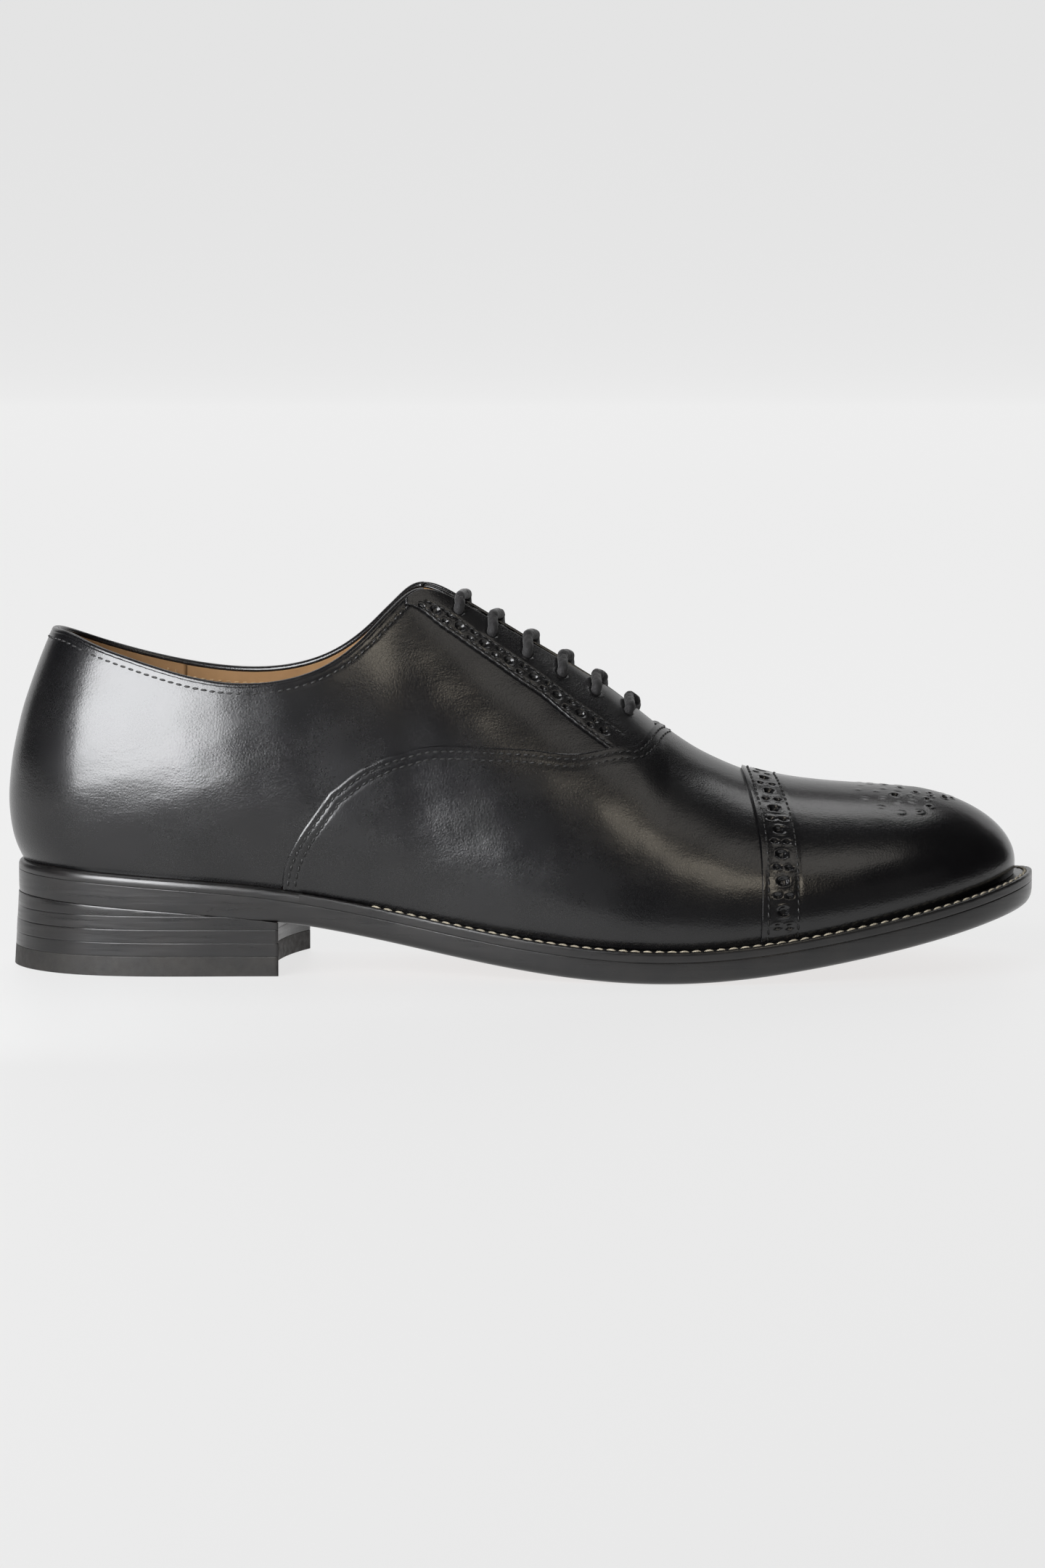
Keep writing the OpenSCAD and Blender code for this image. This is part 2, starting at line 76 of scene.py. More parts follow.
# ---- Last ----
# Stations from the heel's centre to the toe's tip. Each gives the feather edge (x, lateral
# y, medial y), the top of its section (x, middle y, half gap, z), the belly above the
# feather edge (out, up), the run into the top (forward, out, up) and the welt's width.
STATIONS = np.array([
    [2,     0,    0,   12.5, 0,   0,   101.8,  9.5, 16,   -13, 0,  -25,   1.5],
    [8,   -15,   15,   15.5, 0,   12,  100.5,  9,   16,   -8,  9,  -25,   1.8],
    [21,  -25.8, 25.2, 25,   0,   21,  96,     7.5, 17,   -2,  8,  -24,   2.2],
    [39,  -29.6, 28.4, 40,   0,   26,  91,     6.5, 18,   0,   5.5, -22,  2.6],
    [58,  -30,   27.2, 58,   0,   28.5, 87,    6,   18,   0,   4.5, -22,  2.8],
    [79,  -29.2, 24,   77,   0,   28,  85.7,   6,   18,   0,   4.5, -22,  3.0],
    [99,  -29.5, 22,   95,   0,   24.5, 90,    6.5, 20,   0,   7,  -24,   3.3],
    [116, -31,   22.3, 109,  0,   18.5, 101,   7,   22,   0,   10, -26,   3.8],
    [131, -34,   24.5, 121,  0,   6,   116.2,  7.5, 22,   0,  17,  -23,   4.4],
    [146, -37.5, 28,   134,  0,   3,   108.6,  8,   22,   1,  21,  -18.5, 5.0],
    [161, -41,   32,   150,  0,   2.2, 98.8,   8,   21,   1,  22.5, -14,  5.5],
    [176, -44,   36,   166,  0,   1.5, 89.2,   7.5, 20,   1,  23.5, -9.5, 5.8],
    [190, -46,   39.6, 181,  0,   0,   79.8,   7,   19,   1,  23.5, -4.5, 6.0],
    [205, -47,   42.3, 195.5, 0,  0,   67.2,   6.5, 18,   1,  24, -1,     6.0],
    [221, -46,   43.3, 213,  0,   0,   57.5,   6,   17,   1,  24, 0,      6.0],
    [238, -42.6, 43.4, 231,  0.7, 0,   53.2,   5.5, 16,   2,  22,  0,     6.0],
    [257, -36.8, 41.2, 247,  1.5, 0,   52.2,   5,   15,   5,  20,  0,     6.1],
    [276, -28,   35.6, 260,  2.5, 0,   52.0,   4.5, 14,   10, 17,  -1.2,  6.2],
    [292.5, -14.6, 23.8, 268, 3.5, 0,  51.6,   4,   13,   15, 9,   -2.2,  6.3],
    [302.3, 4.5,  4.5, 271.5, 4,  0,   51.2,   3.5, 12.5, 17, 0,   -3,    6.3]])
TOE = len(STATIONS) - 1
# Height of the welt's top every 25 mm from x = -25: heel pitch, waist, ball, toe spring.
SPRING = np.array([32.6, 31.6, 30.3, 28.5, 26.6, 22.6, 17.4, 12.8, 9.9, 9.45, 11.7, 15.6, 20.2, 26, 33])
SPRING_STEP = 25.0


def ring_rows():
    rows = []
    for j in range(2 * TOE):
        lateral = j <= TOE
        r = STATIONS[j if lateral else 2 * TOE - j]
        s = -1 if lateral else 1
        rows.append([r[0], r[1] if lateral else r[2], r[3], r[4] + s * r[5], r[6], r[7], r[8],
                     r[9], s * r[10], r[11], r[12]])
    return np.array(rows)


RING = ring_rows()


def weights(t):
    """Cubic B-spline weights of four neighbours, for a place t between the middle two."""
    middle = 3 * t ** 3 - 6 * t * t + 4, -3 * t ** 3 + 3 * t * t + 3 * t + 1
    return np.stack([(1 - t) ** 3, *middle, t ** 3]) / 6


def ring_at(u):
    """The last's row at ring position u: 0 heel, TOE toe, rising along the lateral side."""
    u = np.asarray(u, float)
    i = np.floor(u).astype(int)
    w = weights(u - i)
    return sum(w[k][..., None] * RING[(i - 1 + k) % len(RING)] for k in range(4))


def spring(x):
    """Height of the welt's top at x."""
    s = np.asarray(x, float) / SPRING_STEP + 1
    i = np.clip(np.floor(s).astype(int), 1, len(SPRING) - 3)
    w = weights(s - i)
    return sum(w[k] * SPRING[i - 1 + k] for k in range(4))


def unit(v):
    return v / np.maximum(np.linalg.norm(v, axis=-1, keepdims=True), 1e-12)


def plan_normal(u):
    """Outward normal of the feather edge, seen from above."""
    t = unit((ring_at(u + NUDGE) - ring_at(u - NUDGE))[..., :2])
    return np.stack([t[..., 1], -t[..., 0], 0 * t[..., 0]], -1)


def welt_width(u):
    """How far the welt stands out past the feather edge."""
    return ring_at(u)[..., 10]


def outline(u, out):
    """Plan points at a distance out from the feather edge."""
    return ring_at(u)[:, :2] + plan_normal(u)[:, :2] * np.broadcast_to(out, u.shape)[:, None]


def hung(q, depth):
    """Plan points set at a depth below the welt's top."""
    return np.concatenate([q, (spring(q[:, 0]) - depth)[:, None]], 1)


def section(u):
    """The four control points of the last's section: foot, belly, run and top."""
    r = ring_at(u)
    foot = np.stack([r[..., 0], r[..., 1], spring(r[..., 0])], -1)
    top = r[..., 2:5]
    belly = foot + plan_normal(u) * r[..., 5:6] + r[..., 6:7] * np.array([0, 0, 1.0])
    return foot, belly, top + r[..., 7:10], top


def rise(s, v):
    """Bezier point at height v of a section."""
    v = v[..., None]
    return (1 - v) ** 3 * s[0] + 3 * (1 - v) ** 2 * v * s[1] + 3 * (1 - v) * v * v * s[2] + v ** 3 * s[3]


def last(side, u, v):
    """Points and outward normals at station u and height v; side is -1 lateral, 1 medial."""
    u, v = np.broadcast_arrays(np.asarray(u, float), np.asarray(v, float))
    ring = u if side < 0 else 2 * TOE - u
    w = np.minimum(v, 0.985)
    here = section(ring)
    along = rise(section(ring + NUDGE), w) - rise(section(ring - NUDGE), w)
    up = rise(here, w + NUDGE) - rise(here, w - NUDGE)
    return rise(here, v), unit(np.cross(along, up))


THROAT_U = 12.8
CAP_U = 14.25


def skin(side, u, v, d):
    """Points at distance d outside the last, with their normals. They stay above the welt."""
    p, n = last(side, u, v)
    ridge = ((v > 0.9995) & (np.asarray(u) >= THROAT_U - 0.001)) | (np.abs(np.asarray(u) - TOE) < 1e-6)
    if np.any(ridge):
        _, other = last(-side, u, v)
        n = np.where(np.broadcast_to(ridge, n.shape[:-1])[..., None], unit(n + other), n)
    q = p + n * np.asarray(d)[..., None]
    q[..., 2] = np.maximum(q[..., 2], spring(q[..., 0]) + 0.1)
    return q, n


def smooth(a, b, x):
    t = np.clip((np.asarray(x, float) - a) / (b - a), 0, 1)
    return t * t * (3 - 2 * t)


def curve(xs, ys, x):
    """A smooth curve through the points (xs, ys): cubic Hermite with slopes by difference."""
    xs, ys, x = np.array(xs, float), np.array(ys, float), np.asarray(x, float)
    m = np.gradient(ys, xs)
    i = np.clip(np.searchsorted(xs, x) - 1, 0, len(xs) - 2)
    h = xs[i + 1] - xs[i]
    t = np.clip((x - xs[i]) / h, 0, 1)
    return ((2 * t ** 3 - 3 * t * t + 1) * ys[i] + (t ** 3 - 2 * t * t + t) * h * m[i]
            + (-2 * t ** 3 + 3 * t * t) * ys[i + 1] + (t ** 3 - t * t) * h * m[i + 1])


# ---- Pattern lines ----
SEAM_START = 5.16


def seam(u):
    """Height of the vamp's rear edge: steep at the welt, level at the waist, up to the throat."""
    u = np.asarray(u, float)
    low = 0.485 * np.sqrt(np.clip(u - SEAM_START, 0, None) / (6 - SEAM_START))
    mid = curve([6, 6.5, 7, 7.6, 8.2, 9, 10, 11, 12],
                [0.485, 0.541, 0.549, 0.534, 0.529, 0.545, 0.582, 0.618, 0.70], u)
    high = 0.70 + 0.30 * np.clip((np.minimum(u, THROAT_U) - 12) / (THROAT_U - 12), 0, 1) ** 1.8
    return np.where(u < 6, low, np.where(u < 12, mid, high))


# Stitch rows above and below the brogue band of the facing, as station and height.
BAND_TOP = np.array([[8.22, 0.937], [8.95, 0.903], [9.75, 0.875], [10.5, 0.843], [11.08, 0.800],
                     [11.65, 0.768], [11.95, 0.753]])
FACING_LOW = np.array([[7.72, 0.962], [7.9, 0.938], [8.05, 0.918], [8.5, 0.865], [8.93, 0.842],
                       [9.33, 0.825], [9.7, 0.809], [10.08, 0.789], [10.45, 0.772], [10.73, 0.747],
                       [11.0, 0.722], [11.4, 0.692], [11.78, 0.664], [12.3, 0.63]])
BAND_LOW = FACING_LOW[2:] + [0, 0.012]


def facing_edge(u):
    """Lower edge of the facing: gimped along the band, then under the vamp."""
    u = np.asarray(u, float)
    teeth = 0.004 * np.abs(((u * 7.2) % 1) - 0.5)
    free = curve(FACING_LOW[:, 0], FACING_LOW[:, 1], u) - 0.002 + teeth
    return np.minimum(np.maximum(free, seam(u) - 0.03), edge_top(u) - 0.006)


TOPLINE_V = 0.978


def edge_top(u):
    return TOPLINE_V + (1 - TOPLINE_V) * smooth(7.4, 8.2, u)


def side_top(side, u):
    """The lateral edge sits higher behind the ankle and lower along the throat."""
    u = np.asarray(u, float)
    if side > 0:
        return edge_top(u)
    return (edge_top(u) + 0.024 * smooth(0.2, 1.6, u) * (1 - smooth(2.6, 4.6, u))
            - 0.016 * smooth(7.3, 8.4, u) * (1 - smooth(10.6, 12.5, u)))


LAP = 1.1


def vamp_out(u, v):
    """The vamp laps over the quarters, and near the throat over the facings too."""
    w = np.minimum(u, THROAT_U)
    s = (seam(w) - v) * 85 + (u - w) * 15.5
    return LAP + 0.75 * smooth(10.4, 12.2, u) * (1 - smooth(0, 34, s))


def cap_edge_u(v):
    """The cap's rear edge leans back towards the welt."""
    return CAP_U - 0.2 * smooth(0.62, 0.0, v)


def cap_out(u, v):
    """The cap stands proud of the vamp along its rear edge and thins towards the toe."""
    return LAP + 1.05 * (1 - smooth(CAP_U + 0.1, CAP_U + 3.4, u)) - 0.5 * smooth(CAP_U + 1, TOE, u)


def lining_out(u, v):
    """The lining makes room for the heel counter and for the toe puff."""
    heel = (1 - smooth(5, 6.2, u)) * (1 - smooth(0.66, 0.82, v))
    toe = smooth(13.9, 14.7, u)
    return -1.5 - 1.3 * np.maximum(heel, toe)


# ---- Meshes ----
OUTSOLE = np.array(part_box("outsole"))
EDGE_US = np.linspace(0, 2 * TOE, 1520, endpoint=False)
EDGE_PLAN = outline(EDGE_US, welt_width(EDGE_US))
SCALE = np.ptp(OUTSOLE[:, 0]) / np.ptp(EDGE_PLAN[:, 0])
MIDDLE_Y = (EDGE_PLAN[:, 1].max() + EDGE_PLAN[:, 1].min()) / 2
SHIFT = np.array([OUTSOLE[0, 0] - SCALE * EDGE_PLAN[:, 0].min(),
                  OUTSOLE[:, 1].mean() - SCALE * MIDDLE_Y, 0.0])


def place(p):
    """Last millimetres to the frame's metres."""
    return np.asarray(p, float) * SCALE + SHIFT


class Build:
    """Collects grids and small parts into one mesh, with a material index per face."""

    def __init__(self):
        self.verts, self.faces, self.mats, self.count = [], [], [], 0

    def add(self, verts, faces, mat=0):
        verts = np.asarray(verts, float).reshape(-1, 3)
        self.verts.append(verts)
        self.faces.extend([tuple(int(k) + self.count for k in f) for f in faces])
        self.mats.extend([mat] * len(faces))
        self.count += len(verts)

    def grid(self, p, flip=False, mat=0):
        ids = np.arange(p.shape[0] * p.shape[1]).reshape(p.shape[:2])
        q = np.stack([ids[:-1, :-1], ids[1:, :-1], ids[1:, 1:], ids[:-1, 1:]], -1).reshape(-1, 4)
        self.add(p, q[:, ::-1] if flip else q, mat)

    def closed(self, loops, flip=False):
        """A closed tube through rows of points, with a flat face at each end."""
        p = np.stack(loops + loops[:1], 1)
        self.grid(p, flip)
        order = tuple(range(len(loops)))[::1 if flip else -1]
        self.add(p[0, :-1], [order])
        self.add(p[-1, :-1], [order[::-1]])

    def finish(self, name, materials, weld=False, place_it=True):
        verts = np.concatenate(self.verts)
        if place_it:
            verts = place(verts)
        mesh = bpy.data.meshes.new(name)
        mesh.from_pydata(verts.tolist(), [], self.faces)
        for m in materials:
            mesh.materials.append(m)
        mesh.polygons.foreach_set("material_index", self.mats)
        if weld:
            bm = bmesh.new()
            bm.from_mesh(mesh)
            bmesh.ops.remove_doubles(bm, verts=bm.verts, dist=2e-6)
            bmesh.ops.dissolve_degenerate(bm, edges=bm.edges, dist=1e-7)
            bm.to_mesh(mesh)
            bm.free()
        mesh.polygons.foreach_set("use_smooth", [True] * len(mesh.polygons))
        mesh.validate()
        obj = bpy.data.objects.new(name, mesh)
        SCENE.collection.objects.link(obj)
        return obj


def levels(length, step, start=(), end=()):
    """Positions 0..1 over a length, about step apart, with closer ones near either end."""
    inner = np.linspace(0, length, max(int(round(length / step)), 2) + 1)
    lo, hi = max(start, default=0), length - max(end, default=0)
    body = inner[(inner > lo + step * 0.4) & (inner < hi - step * 0.4)]
    return np.unique(np.concatenate([[0], start, body, length - np.array(end), [length]])) / length


def stations(first, span, step, start=(), pitch=16):
    """Stations over a span, about step mm apart where one station is pitch mm long."""
    return first + levels(span * pitch, step, start) * span


ROUND = (0.06, 0.16, 0.3, 0.48, 0.7)


def eased(s, r):
    """How far a rounded edge of radius r drops at distance s from it."""
    t = np.clip(s, 0, r)
    return r - np.sqrt(np.maximum(r * r - (r - t) ** 2, 0))


def nearest(points, p):
    """Distance from every point of p to the nearest of the points."""
    tree = KDTree(len(points))
    for k, q in enumerate(points):
        tree.insert(q, k)
    tree.balance()
    return np.array([tree.find(q)[2] for q in p.reshape(-1, 3)]).reshape(p.shape[:-1])


def dents(p, marks):
    """Depth of grooves and punches at points p. A mark is (points, radius, depth, kind)."""
    depth = np.zeros(p.shape[:-1])
    for points, radius, amount, kind in marks:
        best = nearest(points, p)
        if kind == "groove":
            depth += amount * np.exp(-(best / radius) ** 2)
        else:
            depth += amount * (1 - smooth(radius - 0.3, radius + 0.12, best))
            depth -= 0.12 * np.exp(-((best - radius - 0.35) / 0.3) ** 2)
    return depth


def wander(p):
    """Slow unevenness of pulled leather, in mm."""
    x, y, z = p[..., 0], p[..., 1], p[..., 2]
    return (0.10 * np.sin(x * 0.093 + z * 0.061 + 1.3) * np.sin(z * 0.12 - x * 0.031)
            + 0.05 * np.sin(x * 0.31 - z * 0.23 + y * 0.1) * np.sin(z * 0.27 + x * 0.11))


def shell(build, side, us, vs, outer, thick, rims="bts", soft=(), radius=0.7, marks=(), top_until=99,
          uneven=1.0):
    """One side of a leather piece over stations us and heights vs per station. rims names the
    open edges (bottom, top, start, end), and soft lists the lines where the edge is rounded."""
    us = np.asarray(us, float)
    grid_u = np.broadcast_to(us if us.ndim == 2 else us[:, None], vs.shape)
    d0 = outer(grid_u, vs)
    base = skin(side, grid_u, vs, d0)[0]
    d = d0 + uneven * wander(base)
    for line in soft:
        d = d - eased(nearest(line, base), radius)
    if marks:
        d = d - dents(base, marks)
    top, under = (skin(side, grid_u, vs, depth)[0] for depth in (d, d0 - thick))
    flip = side > 0
    build.grid(top, flip)
    build.grid(under, not flip)
    cols = grid_u[:, -1] <= top_until + 1e-6
    edges = {"b": (top[:, 0], under[:, 0], True), "t": (top[cols, -1], under[cols, -1], False),
             "s": (top[0], under[0], False), "e": (top[-1], under[-1], True)}
    for key in rims:
        a, c, order = edges[key]
        build.grid(np.stack([a, (a + c) / 2, c], 1), order != flip)


def rows(low, high, length, step, close=True):
    """Heights per station between two lines, with closer rows at both of them."""
    near = ROUND if close else ()
    t = levels(length, step, near, near)
    low, high = np.asarray(low, float)[:, None], np.asarray(high, float)[:, None]
    return low + (high - low) * t


def shifted(side, uv, distance):
    """The (u, v) polyline moved sideways over the surface by a distance in mm."""
    u, v = uv[:, 0], uv[:, 1]
    p, n = last(side, u, v)
    b = unit(np.cross(n, unit(np.gradient(p, axis=0))))
    pu = (last(side, u + NUDGE, v)[0] - last(side, u - NUDGE, v)[0]) / (2 * NUDGE)
    pv = (last(side, u, np.minimum(v + NUDGE, 1.2))[0] - last(side, u, v - NUDGE)[0]) / (2 * NUDGE)
    a11, a12, a22 = (pu * pu).sum(-1), (pu * pv).sum(-1), (pv * pv).sum(-1)
    b1, b2 = (pu * b).sum(-1) * distance, (pv * b).sum(-1) * distance
    det = np.maximum(a11 * a22 - a12 * a12, 1e-6)
    return np.stack([u + (a22 * b1 - a12 * b2) / det, v + (a11 * b2 - a12 * b1) / det], -1)


def run_along(p):
    """Distance travelled at each point of a polyline."""
    return np.concatenate([[0], np.cumsum(np.linalg.norm(np.diff(p, axis=0), axis=1))])


def at_run(at, run, p):
    """The polyline p sampled at distances along it."""
    return np.stack([np.interp(at, run, p[:, k]) for k in range(p.shape[1])], -1)


def spaced(p, n, pitch, start=0.5):
    """Points, normals and directions at an even pitch along a polyline p with normals n."""
    run = run_along(p)
    count = max(int(run[-1] / pitch), 1)
    at = (np.arange(count) + start) * run[-1] / count
    ahead, behind = at_run(at + 0.3, run, p), at_run(at - 0.3, run, p)
    return at_run(at, run, p), unit(at_run(at, run, n)), unit(ahead - behind)


def ring_faces(rings, sides):
    """Faces of a tube of rings with a number of sides each, closed at both ends."""
    faces = []
    for i in range(0, (rings - 1) * sides, sides):
        for k in range(sides):
            ahead = i + (k + 1) % sides
            faces.append((i + k, ahead, ahead + sides, i + k + sides))
    end = (rings - 1) * sides
    return faces + [tuple(range(sides))[::-1], tuple(range(end, end + sides))]


def bead(rings=7, sides=8):
    """A unit spindle along x with rounded ends: its points and faces."""
    t = np.linspace(-1, 1, rings)
    r = np.sqrt(np.clip(1 - np.abs(t) ** 2.6, 0.06, 1))
    a = np.linspace(0, 2 * np.pi, sides, endpoint=False)
    v = [[x, rr * math.cos(k), rr * math.sin(k)] for x, rr in zip(t, r) for k in a]
    return np.array(v) * 0.5, ring_faces(rings, sides)


BEAD_V, BEAD_F = bead()


def stitches(build, p, n, pitch=2.4, length=1.9, width=0.62, height=0.5, lift=0.02, slant=6.0, mat=1):
    """A row of separate thread stitches lying in the surface along the polyline."""
    q, m, t = spaced(p, n, pitch)
    b = unit(np.cross(m, t))
    a = math.radians(slant)
    for k in range(len(q)):
        jitter = RNG.normal(0, 0.03, 2)
        ax = t[k] * math.cos(a + jitter[0]) + b[k] * math.sin(a + jitter[0])
        ay = np.cross(m[k], ax)
        size = np.array([length * (1 + jitter[1]), width, height])
        v = BEAD_V * size
        sag = m[k] * lift - np.outer((BEAD_V[:, 0] * 2) ** 2, m[k]) * height * 0.45
        build.add(q[k] + v[:, :1] * ax + v[:, 1:2] * ay + v[:, 2:3] * m[k] + sag, BEAD_F, mat)


def tube(build, path, radius, sides, relief=None):
    """A round cord along a path. relief(distance, angle) adds to the radius."""
    t = unit(np.gradient(path, axis=0))
    a = unit(np.cross(t[0], [0.31, 0.2, 0.93]))
    frames = []
    for ahead in t:
        a = unit(a - (a * ahead).sum() * ahead)
        frames.append(a)
    f1 = np.array(frames)
    f2 = np.cross(t, f1)
    angle = np.linspace(0, 2 * np.pi, sides, endpoint=False)
    rr = np.full((len(path), sides), float(radius))
    if relief is not None:
        rr = rr + relief(run_along(path)[:, None], angle[None])
    spokes = np.cos(angle)[None, :, None] * f1[:, None] + np.sin(angle)[None, :, None] * f2[:, None]
    build.add(path[:, None] + rr[..., None] * spokes, ring_faces(len(path), sides))


def resample(path, step):
    """A Catmull-Rom curve through path points, resampled to an even step."""
    p = np.asarray(path, float)
    p = np.concatenate([[2 * p[0] - p[1]], p, [2 * p[-1] - p[-2]]])
    t = np.linspace(0, 1, 12, endpoint=False)[:, None]
    pieces = []
    for a, b, c, d in zip(p, p[1:], p[2:], p[3:]):
        pieces.append(0.5 * (2 * b + (c - a) * t + (2 * a - 5 * b + 4 * c - d) * t ** 2
                             + (3 * b - a - 3 * c + d) * t ** 3))
    q = np.concatenate(pieces + [p[-2:-1]])
    run = run_along(q)
    return at_run(np.linspace(0, run[-1], max(int(run[-1] / step), 2) + 1), run, q)


# ---- Materials ----
class Nodes:
    """A small helper that builds one node material in object space, in metres."""

    def __init__(self, name):
        self.mat = bpy.data.materials.new(name)
        self.mat.use_nodes = True
        self.tree = self.mat.node_tree
        self.bsdf = self.tree.nodes["Principled BSDF"]
        self.coords = self.tree.nodes.new("ShaderNodeTexCoord").outputs["Object"]

    def put(self, socket, value):
        """Links another node's output to a socket, or sets the socket's value."""
        if isinstance(value, bpy.types.NodeSocket):
            self.tree.links.new(value, socket)
        else:
            socket.default_value = value

    def new(self, kind, **values):
        node = self.tree.nodes.new(kind)
        for key, value in values.items():
            if key in node.inputs:
                self.put(node.inputs[key], value)
            else:
                setattr(node, key, value)
        return node

    def stretch(self, x, y, z):
        return self.new("ShaderNodeMapping", Vector=self.coords, Scale=(x, y, z)).outputs[0]

    def noise(self, size, detail=3.0, rough=0.55, where=None):
        """Noise with features about size metres across."""
        return self.new("ShaderNodeTexNoise", Vector=where or self.coords, Scale=1 / size, Detail=detail,
                        Roughness=rough).outputs["Fac"]

    def cells(self, size, where=None):
        return self.new("ShaderNodeTexVoronoi", feature="DISTANCE_TO_EDGE", Vector=where or self.coords,
                        Scale=1 / size).outputs["Distance"]

    def remap(self, value, low, high, start=0.3, end=0.7):
        """A value that runs from start to end, made to run from low to high."""
        ends = {"From Min": start, "From Max": end, "To Min": low, "To Max": high}
        return self.new("ShaderNodeMapRange", Value=value, **ends).outputs[0]

    def plus(self, a, b):
        node = self.new("ShaderNodeMath", operation="ADD")
        self.put(node.inputs[0], a)
        self.put(node.inputs[1], b)
        return node.outputs[0]

    def ramp(self, value, stops):
        node = self.new("ShaderNodeValToRGB", Fac=value)
        elements = node.color_ramp.elements
        while len(elements) < len(stops):
            elements.new(0.5)
        for element, (place, colour) in zip(elements, stops):
            element.position = place
            element.color = (*colour, 1)
        return node.outputs[0]

    def bump(self, *layers):
        """Chained bumps: each layer is (height socket, strength, depth in metres)."""
        chain = {}
        for height, strength, distance in layers:
            node = self.new("ShaderNodeBump", Height=height, Strength=strength, Distance=distance, **chain)
            chain = {"Normal": node.outputs[0]}
        self.set(**chain)

    def set(self, **values):
        for key, value in values.items():
            self.put(self.bsdf.inputs[key.replace("_", " ")], value)


def mottled(name, stops, size, detail=4, rough=0.55):
    """A material whose base colour wanders through the stops."""
    m = Nodes(name)
    m.set(Base_Color=m.ramp(m.noise(size, detail, rough), stops))
    return m


def black_calf(name, shine=1.0):
    """Box calf: near black, fine creased grain, wax shine that varies over the surface."""
    m = mottled(name, [(0.3, (0.0035, 0.0035, 0.0042)), (0.75, (0.0085, 0.0082, 0.0088))], 0.02)
    fine = m.noise(0.0005, 2)
    wax = m.remap(m.noise(0.034), 0.21 / shine, 0.29 / shine)
    m.set(Roughness=m.plus(wax, m.remap(fine, 0.0, 0.04)), Specular_IOR_Level=0.5, Coat_Weight=0.2 * shine,
          Coat_Roughness=0.14, Coat_IOR=1.45)
    crease = m.noise(0.006, 5, 0.62, m.stretch(1.0, 1.0, 2.2))
    grain = m.remap(m.cells(0.0009), 0.0, 1.0, 0.0, 0.35)
    m.bump((grain, 0.22, 0.00007), (crease, 0.18, 0.0005), (fine, 0.10, 0.00006))
    return m.mat


def thread(name, colour, rough=0.6):
    """Twisted thread."""
    m = mottled(name, [(0.35, tuple(0.72 * c for c in colour)), (0.65, colour)], 0.0016, 2)
    m.set(Roughness=rough)
    twist = m.new("ShaderNodeTexWave", Vector=m.coords, Scale=900.0, Distortion=2.0, Detail=1.0)
    m.bump((twist.outputs["Fac"], 0.5, 0.0001))
    return m.mat


def tan_leather(name):
    """Soft, matt lining leather."""
    m = mottled(name, [(0.25, (0.30, 0.165, 0.068)), (0.75, (0.42, 0.245, 0.110))], 0.013, 5, 0.6)
    m.set(Roughness=m.remap(m.noise(0.004), 0.45, 0.60), Specular_IOR_Level=0.4)
    m.bump((m.cells(0.0011), 0.25, 0.00012), (m.noise(0.0004, 2), 0.25, 0.00008))
    return m.mat


def waxed_edge(name):
    """Burnished black edge with faint scraped lines along it."""
    m = mottled(name, [(0.3, (0.006, 0.006, 0.0065)), (0.8, (0.014, 0.0125, 0.012))], 0.009)
    lines = m.noise(0.0011, 4, 0.6, m.stretch(0.06, 0.06, 1.0))
    m.set(Roughness=m.remap(lines, 0.25, 0.42), Coat_Weight=0.25, Coat_Roughness=0.18)
    m.bump((lines, 0.3, 0.00016), (m.noise(0.0035), 0.15, 0.0002))
    return m.mat


def sole_leather(name):
    """Hard, red-brown sole leather with a lengthwise grain."""
    stops = [(0.2, (0.16, 0.062, 0.028)), (0.55, (0.27, 0.115, 0.052)), (0.9, (0.36, 0.18, 0.09))]
    m = mottled(name, stops, 0.011, 6, 0.62)
    m.set(Roughness=m.remap(m.noise(0.003, 4), 0.38, 0.6), Specular_IOR_Level=0.4)
    m.bump((m.noise(0.0007, 4), 0.3, 0.00015), (m.noise(0.004, 4, 0.6, m.stretch(0.25, 1, 1)), 0.3, 0.0003))
    return m.mat


def rubber(name):
    """Matt black rubber."""
    m = mottled(name, [(0.3, (0.008, 0.0075, 0.007)), (0.8, (0.02, 0.018, 0.016))], 0.006)
    m.set(Roughness=m.remap(m.noise(0.002), 0.5, 0.72))
    m.bump((m.noise(0.0006), 0.35, 0.0001))
    return m.mat


def cord(name):
    """Waxed cotton lace."""
    m = mottled(name, [(0.3, (0.006, 0.006, 0.0065)), (0.7, (0.024, 0.023, 0.024))], 0.0012, 3)
    m.set(Roughness=0.72, Sheen_Weight=0.35, Sheen_Roughness=0.4, Specular_IOR_Level=0.3)
    m.bump((m.cells(0.00055, m.stretch(1, 0.6, 1)), 0.7, 0.00016), (m.noise(0.00018, 2), 0.3, 0.00005))
    return m.mat


def plain_stuff(name, dark, light, rough, size=0.0015, metal=0.0, depth=0.0002):
    """Inner materials: fibre board, cork, canvas, steel and brass."""
    m = mottled(name, [(0.3, dark), (0.7, light)], size * 3, 5, 0.65)
    m.set(Metallic=metal, Roughness=m.remap(m.noise(size * 2), rough - 0.08, rough + 0.08))
    m.bump((m.noise(size, 4), 0.4, depth))
    return m.mat


